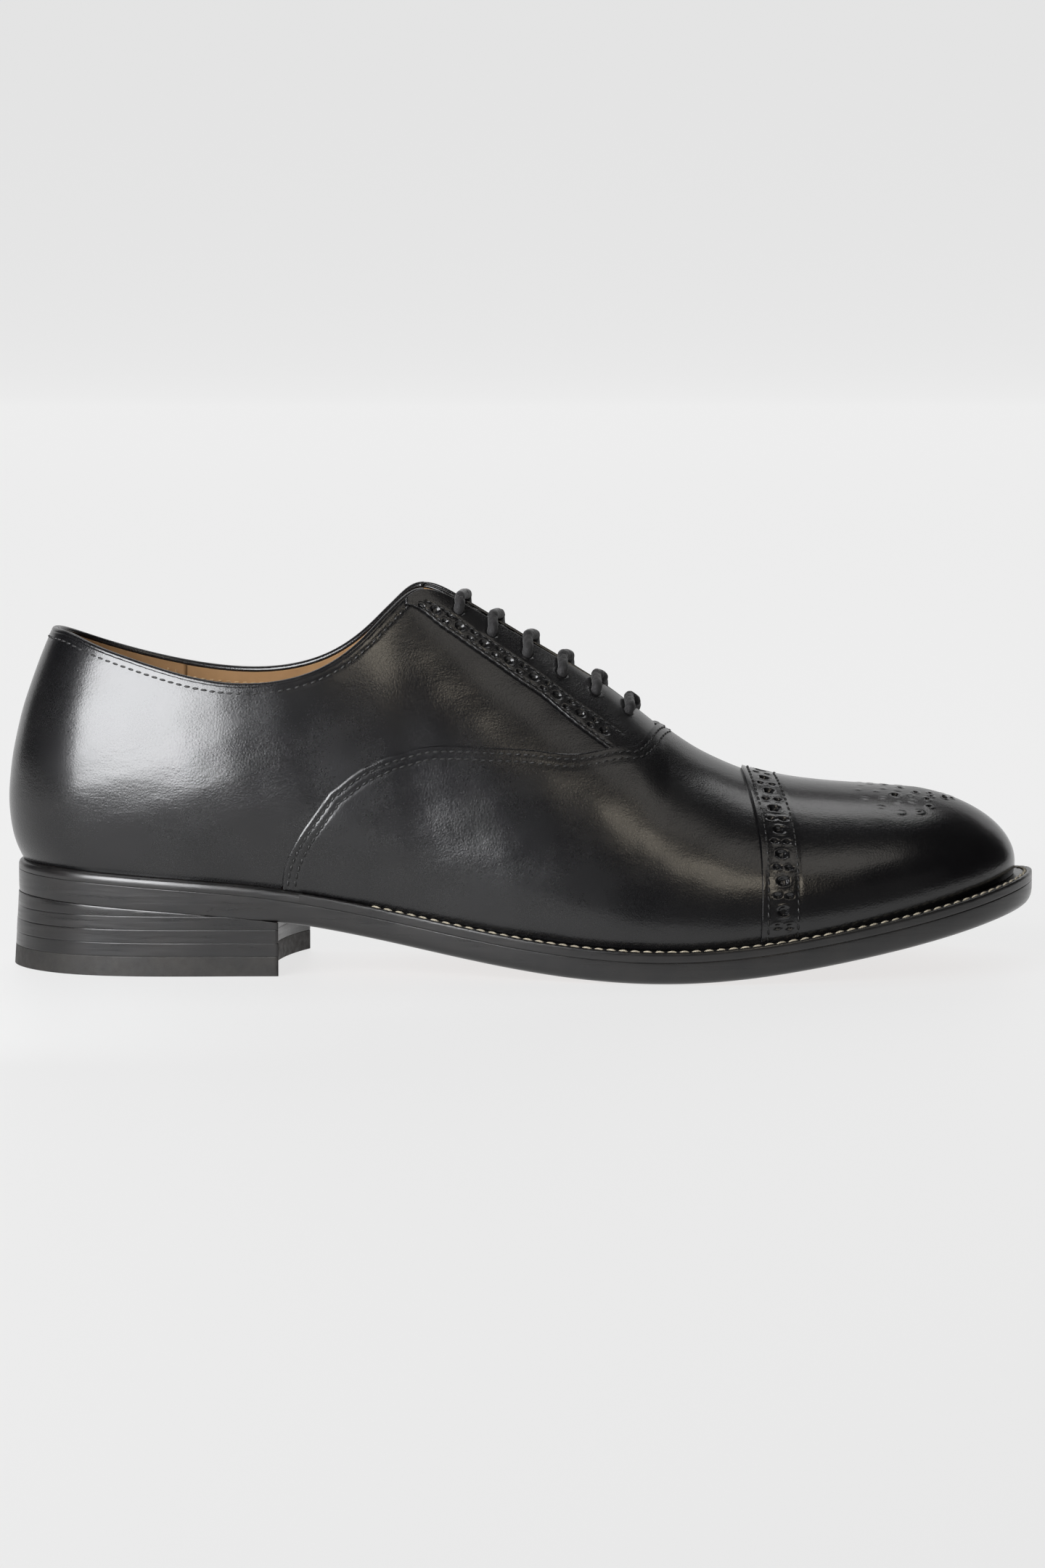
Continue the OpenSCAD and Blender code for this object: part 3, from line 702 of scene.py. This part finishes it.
CALF = black_calf("calf_upper")
CALF_CAP = black_calf("calf_cap", 1.15)
THREAD = thread("thread_black", (0.008, 0.0078, 0.008), 0.45)
WELT_THREAD = thread("thread_welt", (0.56, 0.50, 0.385), 0.62)
LINING = tan_leather("lining_tan")
LINING_THREAD = thread("thread_tan", (0.50, 0.335, 0.175), 0.6)
EDGE = waxed_edge("edge_waxed")
SOLE = sole_leather("sole_natural")
RUBBER = rubber("rubber_top_piece")
CORD = cord("lace_cord_black")
BOARD = plain_stuff("fibre_board", (0.42, 0.31, 0.19), (0.56, 0.44, 0.29), 0.75)
CORK = plain_stuff("cork_paste", (0.22, 0.12, 0.055), (0.42, 0.26, 0.13), 0.85, 0.0022, depth=0.0005)
CANVAS = plain_stuff("rib_canvas", (0.52, 0.47, 0.37), (0.66, 0.61, 0.50), 0.8, 0.0009)
STEEL = plain_stuff("steel_shank", (0.35, 0.35, 0.36), (0.52, 0.52, 0.53), 0.35, 0.001, 1.0, 0.00004)
BRASS = plain_stuff("brass_nail", (0.55, 0.38, 0.14), (0.72, 0.52, 0.22), 0.32, 0.0006, 1.0, 0.00003)


def on_ball(obj, *nodes, slot=None):
    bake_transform(obj)
    done(nodes)


def on_facing(obj, side, *nodes, slot=None):
    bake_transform(obj)
    done(nodes)


def on_body(obj, body, *nodes, slot=None):
    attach(obj, body)
    done(nodes)


def done(nodes):
    if nodes:
        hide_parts(*nodes)


SIDES = {-1: "lateral", 1: "medial"}

# ---- Quarters ----
UPPER_T = 1.3
STEP = 0.9


def seam_line():
    """The vamp's rear edge as (u, v) points, closer together near the welt."""
    u = 5.162 + (THROAT_U - 5.162) * np.linspace(0, 1, 260) ** 1.6
    return np.stack([u, seam(u)], -1)


def top_line(side, low, high, n=160):
    u = np.linspace(low, high, n)
    return np.stack([u, side_top(side, u)], -1)


def row_on(side, uv, out):
    """3-D points and normals along a (u, v) polyline at height out(u, v) over the last."""
    return skin(side, uv[:, 0], uv[:, 1], out(uv[:, 0], uv[:, 1]))


def row_beside(side, line, distance, out, low=0.0, high=1.01):
    """A row at a distance below a (u, v) line, cut to the heights low to high."""
    uv = shifted(side, line, distance * side)
    return row_on(side, uv[(uv[:, 1] >= low) & (uv[:, 1] <= high)], out)


def over(side, u, v, d):
    """One 3-D point at distance d outside the last."""
    return skin(side, np.array([u]), np.array([v]), np.array([float(d)]))[0][0]


def flat(height):
    """An outer surface at one height over the last."""
    return lambda u, v: np.full(np.broadcast(u, v).shape, float(height))


def eyelet(k, side):
    """Lace holes: the medial ones sit a little further forward, so the bars slant."""
    u = 8.90 + 0.648 * k + (0.13 if side > 0 else 0)
    return u, 0.886 + 0.048 * math.exp((9 - u) / 1.3)


for side, label in SIDES.items():
    b = Build()
    us = np.concatenate([stations(0, 5.2, STEP, pitch=16.5), stations(5.2, 7.5, STEP)[1:]])
    vs = rows(np.maximum(seam(us) - 0.06, 0), side_top(side, us), 78, STEP)
    edge = row_on(side, top_line(side, 0, 12.7, 400), flat(0))[0]
    p, n = row_beside(side, top_line(side, 0.12, 7.75), 2.0, flat(0))
    shell(b, side, us, vs, flat(0), UPPER_T, rims="bte", soft=[edge], radius=0.5,
          marks=[(p, 0.55, 0.16, "groove")])
    stitches(b, p, n, pitch=2.5)
    on_facing(b.finish("quarter_skin_" + label, [CALF, THREAD], weld=True), side, "quarter_" + label,
              slot="black_leather")

# ---- Vamp ----
VAMP_END = 14.55
EDGE_UP = 1.2  # height of the vamp's and the cap's rounded edges
b = Build()
edges = np.concatenate([row_on(s, seam_line(), flat(EDGE_UP))[0] for s in SIDES])
vamp_us = np.concatenate([stations(5.175, 0.845, 0.6), stations(6.02, 6.4, STEP)[1:],
                          stations(12.42, 0.38, 0.35)[1:],
                          stations(THROAT_U, VAMP_END - THROAT_U, STEP, pitch=15)[1:]])
vamp_top = np.where(vamp_us < THROAT_U - 1e-6, seam(vamp_us), 1.0)
vamp_vs = rows(np.zeros(len(vamp_us)), vamp_top, 70, STEP)
for side in SIDES:
    seams = [row_beside(side, seam_line(), d, vamp_out, 0.02, 0.999) for d in (1.8, 4.0)]
    shell(b, side, vamp_us, vamp_vs, vamp_out, UPPER_T, rims="btse", soft=[edges], radius=0.6,
          marks=[(p, 0.5, 0.15, "groove") for p, _ in seams], top_until=THROAT_U)
    for row in seams:
        stitches(b, *row)
on_ball(b.finish("vamp_skin", [CALF, THREAD], weld=True), "vamp", slot="black_leather")


# ---- Toe cap ----
def circle(u, v, out, up, count, radius, turn=0.0):
    """Punches of one radius evenly round a centre on the cap: station, height, radius."""
    angles = (np.arange(count) + turn) * math.tau / count
    return [(u + out * math.cos(a), v + up * math.sin(a), radius) for a in angles]


# A plain rosette on each side of the toe, and a fan ahead of it.
ROSETTE = [(16.9, 0.81, 1.5)] + circle(16.9, 0.81, 0.37, 0.085, 7, 0.8)
ROSETTE += circle(16.9, 0.81, 0.70, 0.175, 12, 0.95, 0.5)
ROSETTE += [(17.85, 0.80, 0.8), (18.05, 0.845, 0.8), (18.25, 0.775, 0.95), (18.42, 0.80, 0.8),
            (18.6, 0.765, 0.8)]
CAP_STEP = 0.6
ROW_1, BAND_MID, ROW_2 = 1.75, 6.0, 10.3


def brogue_band(p, n, pitch, phase, spread):
    """Centres of a band's big punches, and of the pairs of small ones between them."""
    small, m, t = spaced(p, n, pitch, 0.5 - phase)
    across = unit(np.cross(m, t)) * spread
    return spaced(p, n, pitch, phase)[0], np.concatenate([small + across, small - across])


b = Build()
cap_t = levels((TOE - CAP_U) * 15.5, CAP_STEP, ROUND)
cap_vs = rows(np.zeros(len(cap_t)), np.ones(len(cap_t)), 165, CAP_STEP, close=False)
cap_us = cap_edge_u(cap_vs) + (TOE - cap_edge_u(cap_vs)) * cap_t[:, None]
cap_edge = np.stack([cap_edge_u(np.linspace(0, 1, 200)), np.linspace(0, 1, 200)], -1)
edges = np.concatenate([row_on(s, cap_edge, flat(EDGE_UP))[0] for s in SIDES])
for side in SIDES:
    placed = {d: row_beside(side, cap_edge, d, cap_out, 0.0, 0.999) for d in (ROW_1, BAND_MID, ROW_2)}
    big, pairs = brogue_band(*(a[::-1] for a in placed[BAND_MID]), 9.0, 0.0, 1.8)
    marks = [(placed[d][0], 0.5, 0.16, "groove") for d in (ROW_1, ROW_2)]
    marks += [(big, 1.5, 1.0, "punch"), (pairs, 0.85, 0.7, "punch")]
    for size in sorted({r for _, _, r in ROSETTE}):
        marks.append((np.array([over(side, u, v, 0) for u, v, r in ROSETTE if r == size]), size, 1.0, "punch"))
    shell(b, side, cap_us, cap_vs, cap_out, UPPER_T, rims="bs", soft=[edges], radius=0.6, marks=marks,
          uneven=0.6)
    for d in (ROW_1, ROW_2):
        stitches(b, *placed[d])
on_ball(b.finish("toe_cap_skin", [CALF_CAP, THREAD], weld=True), "toe_cap", slot="black_leather")

# ---- Facings ----
FACING_UP, FACING_T = 1.05, 0.95
BAND_STEP = 0.5
HOLES = 6


def refine(uv, n=400):
    u = np.linspace(uv[0, 0], uv[-1, 0], n)
    return np.stack([u, curve(uv[:, 0], uv[:, 1], u)], -1)


for side, label in SIDES.items():
    b = Build()
    us = stations(7.74, 4.96, BAND_STEP)
    low, high = facing_edge(us), side_top(side, us)
    out = flat(FACING_UP)
    cut = np.concatenate([np.stack([us, low], -1), np.stack([us, high], -1),
                          np.stack([np.full(60, us[0]), np.linspace(low[0], high[0], 60)], -1)])
    upper, lower = refine(BAND_TOP), refine(BAND_LOW)
    parts = ((upper, 0.012), (lower, 0.012), ((upper + lower) / 2, 0.03))
    row_1, row_2, band = (row_on(side, uv[uv[:, 1] > seam(uv[:, 0]) + gap], out) for uv, gap in parts)
    big, pairs = brogue_band(*band, 8.2, 0.5, 1.35)
    holes = np.array([over(side, *eyelet(k, side), FACING_UP) for k in range(HOLES)])
    marks = [(row_1[0], 0.45, 0.15, "groove"), (row_2[0], 0.4, 0.12, "groove"),
             (big, 1.3, 0.9, "punch"), (pairs[1:], 0.75, 0.7, "punch"), (holes, 1.55, 1.0, "punch")]
    shell(b, side, us, rows(low, high, 34, BAND_STEP), out, FACING_T, soft=[row_on(side, cut, out)[0]],
          radius=0.45, marks=marks, uneven=0.8)
    for row in (row_1, row_2):
        stitches(b, *row, pitch=2.1, length=1.7, width=0.5, height=0.42)
    on_facing(b.finish("facing_skin_" + label, [CALF, THREAD], weld=True), side, "facing_" + label,
              slot="black_leather")

# ---- Topline and linings ----
LINING_T = 0.9


def lining_in(u, v):
    return lining_out(u, v) - LINING_T


def lining_stitches(build, p, n):
    stitches(build, p, -n, pitch=2.5, width=0.5, height=0.4)


for side, label in SIDES.items():
    b = Build()
    path = row_on(side, top_line(side, 0, 8.2, 200) + [0, 0.003], flat(-1.1))[0][::-side]
    tube(b, resample(path, 0.8), 1.05, 14)
    on_facing(b.finish("binding_" + label, [CALF]), side, "topline_binding", slot="black_leather")

    b = Build()
    us = stations(3.5, 9.25, 1.6)
    vs = rows(np.maximum(seam(us) - 0.05, 0), side_top(side, us) - 0.004, 70, 1.5)
    shell(b, side, us, vs, lining_out, LINING_T, rims="btse", uneven=0.5)
    lining_stitches(b, *row_beside(side, top_line(side, 3.6, 8.0), 3.6, lining_in))
    on_facing(b.finish("lining_" + label, [LINING, LINING_THREAD], weld=True), side, "quarter_lining_" + label,
              slot="tan_lining")

b = Build()
for side in SIDES:
    us = stations(0, 3.62, 1.2, pitch=16.5)
    vs = rows(np.zeros(len(us)), side_top(side, us) - 0.002, 92, 1.5)
    shell(b, side, us, vs, lambda u, v: lining_out(u, v) - 0.12 * smooth(3.4, 3.62, u), LINING_T, rims="bte",
          uneven=0.3)
    for u in (3.44, 3.3):
        column = np.stack([np.full(80, u), np.linspace(0.3, 0.955, 80)], -1)
        lining_stitches(b, *row_on(side, column, lining_in))
    lining_stitches(b, *row_beside(side, top_line(side, 0.1, 3.3), 3.6, lining_in))
on_body(b.finish("heel_grip_skin", [LINING, LINING_THREAD], weld=True), "shoe", "heel_grip", slot="tan_lining")

b = Build()
for side in SIDES:
    us = stations(5.6, TOE - 5.6, 2.4)
    top = np.where(us < THROAT_U - 1e-6, np.maximum(seam(us) - 0.055, 0.02), 1.0)
    vs = rows(np.zeros(len(us)), top, 70, 2.2, close=False)
    shell(b, side, us, vs, lining_out, LINING_T, top_until=THROAT_U, uneven=0.0)
on_ball(b.finish("vamp_lining_skin", [LINING], weld=True), "vamp_lining", slot="tan_lining")

# ---- Tongue ----
TONGUE_D, TONGUE_T = -5.9, 1.6
TONGUE_V = 0.94  # height at which it leaves the last
BRIDGE = 0.14  # share of its half width that spans the throat
b = Build()
t = np.linspace(-1, 1, 61)
CENTRE = len(t) // 2
tops, lows = [], []
for u in stations(8.35, 4.2, 1.1, ROUND):
    low = 0.74 + 0.025 * (u - 8.3)
    v = np.minimum(low + (TONGUE_V - low) * (1 - np.abs(t)) / (1 - BRIDGE), TONGUE_V)
    line = np.stack([np.full(len(t), u), v], -1)
    (lat, lat_n), (med, med_n) = (row_on(s, line, flat(TONGUE_D)) for s in SIDES)
    k = smooth(-BRIDGE, BRIDGE, t)[:, None]
    p = np.where((t < 0)[:, None], lat, med)
    n = np.where((t < 0)[:, None], lat_n, med_n)
    crown = np.array([0, 0, 0.9]) * (1 - (t / BRIDGE) ** 2)[:, None]
    mid = np.abs(t) < BRIDGE
    p[mid] = (lat[CENTRE] * (1 - k) + med[CENTRE] * k + crown)[mid]
    n[mid] = unit(lat_n[CENTRE] * (1 - k[mid]) + med_n[CENTRE] * k[mid])
    tops.append(p + n * 0.12 * np.sin(t * 9 + u)[:, None])
    lows.append(p - n * TONGUE_T)
tops, lows = np.array(tops), np.array(lows)
b.grid(tops)
b.grid(lows, True, mat=1)
b.grid(np.stack([tops[0], (tops[0] + lows[0]) / 2 + [-0.5, 0, 0.3], lows[0]], 1))
b.grid(np.stack([tops[-1], lows[-1]], 1), True)
b.grid(np.stack([tops[:, 0], lows[:, 0]], 1), True)
b.grid(np.stack([tops[:, -1], lows[:, -1]], 1))
on_body(b.finish("tongue_skin", [CALF, LINING], weld=True), "tongue_flap", "tongue", slot="black_leather")

# ---- Lace ----
LACE_R = 1.5
LACE_UP = FACING_UP + LACE_R * 0.82


def braid(run, angle):
    """Crossing strands of the braided cord, as relief on its radius."""
    a, c = np.sin(run * 2.6 + angle * 4), np.sin(run * 2.6 - angle * 4)
    return 0.075 * np.maximum(a, c) - 0.03


for side, label in SIDES.items():
    for k in range(HOLES):
        u, v = eyelet(k, side)
        u_far, _ = eyelet(k, -side)
        tip = float(side_top(side, u))
        pts = [over(side, u, v, d) for d in (-3.6, -1.6, 0.4)]
        pts += [over(side, u, v + 0.004, FACING_UP + 0.5), over(side, u, v + 0.018, LACE_UP + 0.15)]
        pts += [over(side, u, v + (tip - v) * f, LACE_UP + 0.1) for f in (0.6, 0.82)]
        rim = over(side, u, tip, LACE_UP + 0.35)
        other = over(-side, u_far, float(side_top(-side, u_far)), LACE_UP + 0.35)
        centre = (rim + other) / 2
        gap = float(np.linalg.norm(rim - other)) / 2
        crown = np.array([0, 0, 0.16 * gap ** 0.5])
        pts += [rim, centre * 0.55 + rim * 0.45 + crown * 0.7, centre + crown]
        b = Build()
        tube(b, resample(pts, 0.35), LACE_R, 20, relief=braid)
        obj = b.finish("lace_bar_%s_%d" % (label, k + 1), [CORD])
        hole, middle = place(over(side, u, v, 1.0)), place(centre)
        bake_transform(obj)
        done(["shoelace"])

# ---- Welt, rand and outsole ----
SOLE_TOP, SOLE_LOW = 3.05, 9.65
WELT_LOW = 3.0
STITCH_IN, WELT_PITCH = 2.1, 3.55
WELT_FROM, STITCH_FROM = 5.42, 6.55


def sweep(build, us, profile, ripple=None):
    """A closed profile of (distance from the welt's edge, depth) swept along the outline."""
    run = run_along(ring_at(us)[:, :2])
    loops = []
    for inset, depth in profile:
        loops.append(hung(outline(us, welt_width(us) - inset), depth))
        if ripple is not None:
            loops[-1][:, 2] -= ripple(run, inset, depth)
    build.closed(loops, True)


def fudge(run, inset, depth):
    """Wheel marks between the stitches: small dips on the top of the welt."""
    on = np.exp(-((inset - 1.7) / 1.3) ** 2) * (depth < 0.5)
    return 0.14 * on * np.exp(-((((run / WELT_PITCH) % 1) - 0.5) * 7) ** 2)


WELT = [(9.0, 0.0), (4.4, 0.02), (3.4, 0.02), (2.95, 0.02), (2.7, 0.14), (2.45, 0.3), (STITCH_IN, 0.36),
        (1.75, 0.3), (1.5, 0.14), (1.25, 0.02), (0.9, 0.0), (0.45, 0.06), (0.16, 0.26), (0.03, 0.6), (0, 1.2),
        (0, 2.2), (0, 2.7), (0.03, 2.9), (0.12, WELT_LOW), (9.0, WELT_LOW)]
RAND = [(8.0, -0.02), (3.0, -0.02), (1.6, 0.02), (0.8, 0.22), (0.3, 0.7), (0.05, 1.4), (0.0, 2.1), (0.0, 2.8),
        (0.06, WELT_LOW), (8.0, WELT_LOW)]
b = Build()
sweep(b, np.linspace(WELT_FROM, 2 * TOE - WELT_FROM, 1250), WELT, ripple=fudge)
on_ball(b.finish("welt_strip", [EDGE]), "welt", slot="sole_edge")

b = Build()
sweep(b, np.linspace(-WELT_FROM - 0.04, WELT_FROM + 0.04, 420), RAND)
on_body(b.finish("heel_rand_strip", [EDGE]), "shoe", "heel_rand", slot="sole_edge")

b = Build()
us = np.linspace(STITCH_FROM, 2 * TOE - STITCH_FROM, 1400)
p = hung(outline(us, welt_width(us) - STITCH_IN), 0.16)
stitches(b, p, np.tile([0, 0, 1.0], (len(p), 1)), pitch=WELT_PITCH, length=3.2, width=0.95, height=0.75,
         lift=0.12, slant=4, mat=0)
on_ball(b.finish("welt_thread", [WELT_THREAD]), "welt_stitching", slot="thread")


def plank(name, node, slot, us, out, top, low, side_profile, mats, across=12, square_heel=False):
    """A plate under the last, reaching out(u) past the feather edge. Its two sides are rows of
    (inset, share of the thickness), joined by a lower and an upper face. They meet at both ends."""
    b = Build()
    rounding = 0.06 + 0.94 * smooth(4.7, 5.6, us) if square_heel else np.ones(len(us))

    def side_rows(u):
        return [hung(outline(u, out(u) - inset * rounding), top + (low - top) * share)
                for inset, share in side_profile]

    def face(a, c):
        loops = [a * (1 - k) + c * k for k in np.linspace(0, 1, across + 1)[1:-1]]
        for q in loops:
            q[:, 2] = spring(q[:, 0]) + (a[:, 2] - spring(a[:, 0]))
        return loops

    lat, med = side_rows(us), side_rows(2 * TOE - us)
    loop = lat + face(lat[-1], med[-1]) + med[::-1] + face(med[0], lat[0])
    grid = np.stack(loop + loop[:1], 1)
    m = len(side_profile)
    b.grid(grid[:, :m], True, mat=0)
    b.grid(grid[:, m - 1:m + across], True, mat=1)
    b.grid(grid[:, m + across - 1:2 * m + across - 1], True, mat=0)
    b.grid(grid[:, 2 * m + across - 2:], True, mat=2)
    on_ball(b.finish(name, mats, weld=True), node, slot=slot)


SOLE_SIDE = [(0.08, 0.0), (0.02, 0.02), (0.0, 0.05), (0.0, 0.2), (0.03, 0.4), (0.14, 0.56), (0.38, 0.7),
             (0.75, 0.81), (1.25, 0.9), (1.9, 0.96), (2.7, 0.99), (3.4, 1.0)]
BOX_SIDE = [(0.2, 0.0), (0.0, 0.15), (0.0, 0.85), (0.2, 1.0)]
sole_us = np.concatenate([np.linspace(0, 0.4, 16), np.linspace(0.4, TOE - 1, 300)[1:],
                          np.linspace(TOE - 1, TOE, 50)[1:]])
inner_us = np.concatenate([np.linspace(0, 0.4, 8), np.linspace(0.4, TOE, 160)[1:]])
plank("outsole_plate", "outsole", "sole_edge", sole_us, welt_width, SOLE_TOP, SOLE_LOW, SOLE_SIDE,
      [EDGE, SOLE, EDGE], across=40, square_heel=True)
plank("insole_plate", "insole", "natural_leather", inner_us, lambda u: -4.9, -3.1, -0.1, BOX_SIDE,
      [SOLE, SOLE, LINING])
plank("cork_bed", "cork_filler", "cork", inner_us, lambda u: -6.7, 0.05, 2.9, BOX_SIDE, [CORK, CORK, CORK])

b = Build()
us = np.linspace(5, 2 * TOE - 5, 420)
RIB = ((4.9, -0.05), (6.4, -0.05), (6.4, 2.85), (4.9, 2.85))  # distance inside the feather edge, depth
b.closed([hung(outline(us, -inset), depth) for inset, depth in RIB])
on_ball(b.finish("rib_strip", [CANVAS]), "insole_rib")

# ---- Heel ----
BREAST, BREAST_R = np.array([160.5, -12.4]), 81.8
CORNER_SUM = 114.5  # x + y of the line that cuts the inner front corner
TOP_PIECE_T, LIFT_T, GLUE = 5.8, 3.9, 0.05
FLARE, FLARE_TOP = 1.5, 24
HEEL_EDGE = [(0.1, 0), (0.02, 0.03), (0.0, 0.1), (0.0, 0.4), (0.0, 1.6), (0.0, 2.6)]
HEEL_STEP = 0.8
WHOLE = 200.0  # past the breast, so that a layer isn't cut short


def heel_ring(inset, x_max):
    """The heel's outline: the sole's edge, cut by the hollow breast and its bevelled corner."""
    u = np.linspace(-9, 9, 2600)
    q = outline(u, welt_width(u) - inset)
    behind_breast = (np.hypot(*(q - BREAST).T) >= BREAST_R) & (q[:, 0] < min(x_max, BREAST[0]))
    q = q[behind_breast & (q.sum(1) <= CORNER_SUM)]
    if x_max < WHOLE:
        arc = np.stack([np.full(80, x_max), np.linspace(-30, 28, 80)], -1)
    else:
        a = np.linspace(math.pi * 0.75, math.pi * 1.25, 600)
        arc = BREAST + BREAST_R * np.stack([np.cos(a), np.sin(a)], -1)
        arc = arc[arc.sum(1) < CORNER_SUM]
    arc = arc[(arc[:, 1] > q[-1, 1]) & (arc[:, 1] < q[0, 1])]
    ring = np.concatenate([q, arc[np.argsort(arc[:, 1])], q[:1]])
    run = run_along(ring)
    return at_run(np.linspace(0, run[-1], int(run[-1] / HEEL_STEP), endpoint=False), run, ring)


def stack_layer(name, low, high, bulge, material, node, slot, x_max=WHOLE):
    """One layer of the heel with softly rounded edges; its top never rises above the sole."""
    b = Build()
    ring = heel_ring(0.1 - bulge, x_max)
    t = unit(np.roll(ring, -1, 0) - np.roll(ring, 1, 0))
    normal = np.stack([t[:, 1], -t[:, 0]], -1)
    thick = high - low
    half = [(i, z) for i, z in HEEL_EDGE if z < thick / 2]
    loops = []
    for inset, z in half + [(i, thick - z) for i, z in half[::-1]]:
        flare = FLARE * (1 - (low + z) / FLARE_TOP) * (1 - smooth(15, 75, ring[:, 0]))
        q = ring + normal * (flare - inset)[:, None]
        limit = spring(q[:, 0]) - SOLE_LOW - 0.04
        zz = np.minimum(low + z, np.maximum(limit - (thick - z) * 0.12, low + 0.02 + z * 0.05))
        loops.append(np.concatenate([q, zz[:, None]], 1))
    p = np.stack(loops, 1)
    b.grid(np.concatenate([p, p[:1]]), True)
    order = tuple(range(len(ring)))
    b.add(p[:, 0], [order[::-1]])
    b.add(p[:, -1], [order])
    on_body(b.finish(name, [material], weld=True), "shoe", node, slot=slot)


stack_layer("top_piece_block", 0.0, TOP_PIECE_T, 0.0, RUBBER, "top_piece", "heel_rubber")
for k, bulge in enumerate((-0.02, 0.03, -0.01, 0.02)):
    low = TOP_PIECE_T + GLUE + k * (LIFT_T + GLUE)
    stack_layer("heel_layer_%d" % (k + 1), low, low + LIFT_T, bulge, EDGE, "heel_lift_%d" % (k + 1),
                "sole_edge", x_max=60.0 if k == 3 else WHOLE)

# ---- Inner nodes that keep their CAD shape ----
for name, material in (("heel_pad", LINING), ("heel_counter", BOARD), ("toe_puff", BOARD), ("shank", STEEL),
                       ("heel_nails", BRASS)):
    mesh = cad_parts[name].data
    mesh.materials.clear()
    mesh.materials.append(material)

# ---- Stage, light and camera ----
LENGTH = CAD_BOX[1][0] - CAD_BOX[0][0]
BACK = Vector((CAD_BOX[0][0], 0, 0))
AIM = BACK + Vector((LENGTH * 0.5, 0, LENGTH * 0.187))
DISTANCE, ELEVATION = 1.70, math.radians(6.3)


def lamp(name, where, aim, size, power, colour=(1, 1, 1), diffuse=True, glossy=True):
    """A rectangular soft box at `where`, seen by matt surfaces, by reflections, or by both."""
    data = bpy.data.lights.new(name, "AREA")
    data.shape = "RECTANGLE"
    data.size, data.size_y = size
    data.energy = power
    data.color = colour
    obj = bpy.data.objects.new(name, data)
    obj.location = where
    obj.rotation_euler = (Vector(aim) - Vector(where)).to_track_quat("-Z", "Y").to_euler()
    obj.visible_camera = False
    obj.visible_diffuse = diffuse
    obj.visible_glossy = glossy
    SCENE.collection.objects.link(obj)


def around(centre, azimuth, elevation, distance):
    """A point seen from `centre` at an azimuth right of the camera and an elevation."""
    a, e = math.radians(azimuth), math.radians(elevation)
    return centre + Vector((math.sin(a) * math.cos(e), -math.cos(a) * math.cos(e), math.sin(e))) * distance


# The floor is partly self-lit, so that it stays pale although the lamps are weak.
floor_mat = Nodes("pale_floor")
depth = floor_mat.new("ShaderNodeSeparateXYZ", Vector=floor_mat.coords).outputs["Y"]
floor_mat.set(Base_Color=(0.09, 0.09, 0.09, 1), Roughness=0.6, Specular_IOR_Level=0.2,
              Emission_Color=(0.84, 0.84, 0.84, 1),
              Emission_Strength=floor_mat.remap(depth, 0.79, 0.89, -0.9, 0.3))
WALL_Y, WALL_TOP, BEND_R = 4.5, 4.0, 0.9
bend = np.linspace(0.1, math.pi / 2, 14)
bend_y = WALL_Y - BEND_R
ys = np.concatenate([np.linspace(-WALL_Y, bend_y, 12), bend_y + BEND_R * np.sin(bend), np.full(6, WALL_Y)])
zs = np.concatenate([np.zeros(12), BEND_R - BEND_R * np.cos(bend), np.linspace(BEND_R + 0.2, WALL_TOP, 6)])
b = Build()
b.grid(np.array([[[x, y, z] for y, z in zip(ys, zs)] for x in np.linspace(-4.5, 4.8, 20)]))
b.finish("studio_sweep", [floor_mat.mat], place_it=False)

# The lamps with diffuse off only draw the highlights: on the heel, the side, the vamp and the toe.
HEEL_BOX = BACK + Vector((-LENGTH * 0.197, -0.20, 0.1675))
VAMP_EYE = BACK + Vector((LENGTH * 0.672, -0.043, 0.031))
TOE_EYE = BACK + Vector((LENGTH * 0.70, -0.030, 0.050))
lamp("heel_box", HEEL_BOX, HEEL_BOX + Vector((0, 1, 0)), (0.230, 0.213), 2.5, (0.97, 0.98, 1.0), diffuse=False)
lamp("key", around(AIM, -42, 25, 1.35), AIM, (1.35, 0.72), 24, glossy=False)
lamp("wall_right", around(TOE_EYE, 36, 12, 1.4), TOE_EYE, (1.6, 1.0), 0.5, (1.0, 0.98, 0.96), diffuse=False)
lamp("warm_card", around(VAMP_EYE, 17, 46, 0.5), VAMP_EYE, (0.15, 0.11), 0.24, (1.0, 0.90, 0.74), diffuse=False)
lamp("toe_card", around(TOE_EYE, 50, 60, 1.0), TOE_EYE, (0.4, 0.28), 0.45, (1.0, 0.95, 0.88), diffuse=False)
lamp("top_fill", around(AIM, 180, 62, 1.7), AIM, (1.6, 0.5), 6)

world = bpy.data.worlds.new("studio")
world.use_nodes = True
sky = world.node_tree.nodes["Background"].inputs
sky["Color"].default_value = (1, 1, 1, 1)
sky["Strength"].default_value = 0.012
SCENE.world = world
SCENE.view_settings.view_transform = "Standard"

cam_data = bpy.data.cameras.new("view")
cam_data.sensor_fit = "HORIZONTAL"
cam_data.sensor_width = 36
cam_data.lens = 196.35
cam_data.shift_x = 0.0007
cam_data.shift_y = -0.0125
camera = bpy.data.objects.new("view", cam_data)
camera.location = AIM + Vector((0, -math.cos(ELEVATION), math.sin(ELEVATION))) * DISTANCE
camera.rotation_euler = (AIM - camera.location).to_track_quat("-Z", "Y").to_euler()
SCENE.collection.objects.link(camera)
SCENE.camera = camera
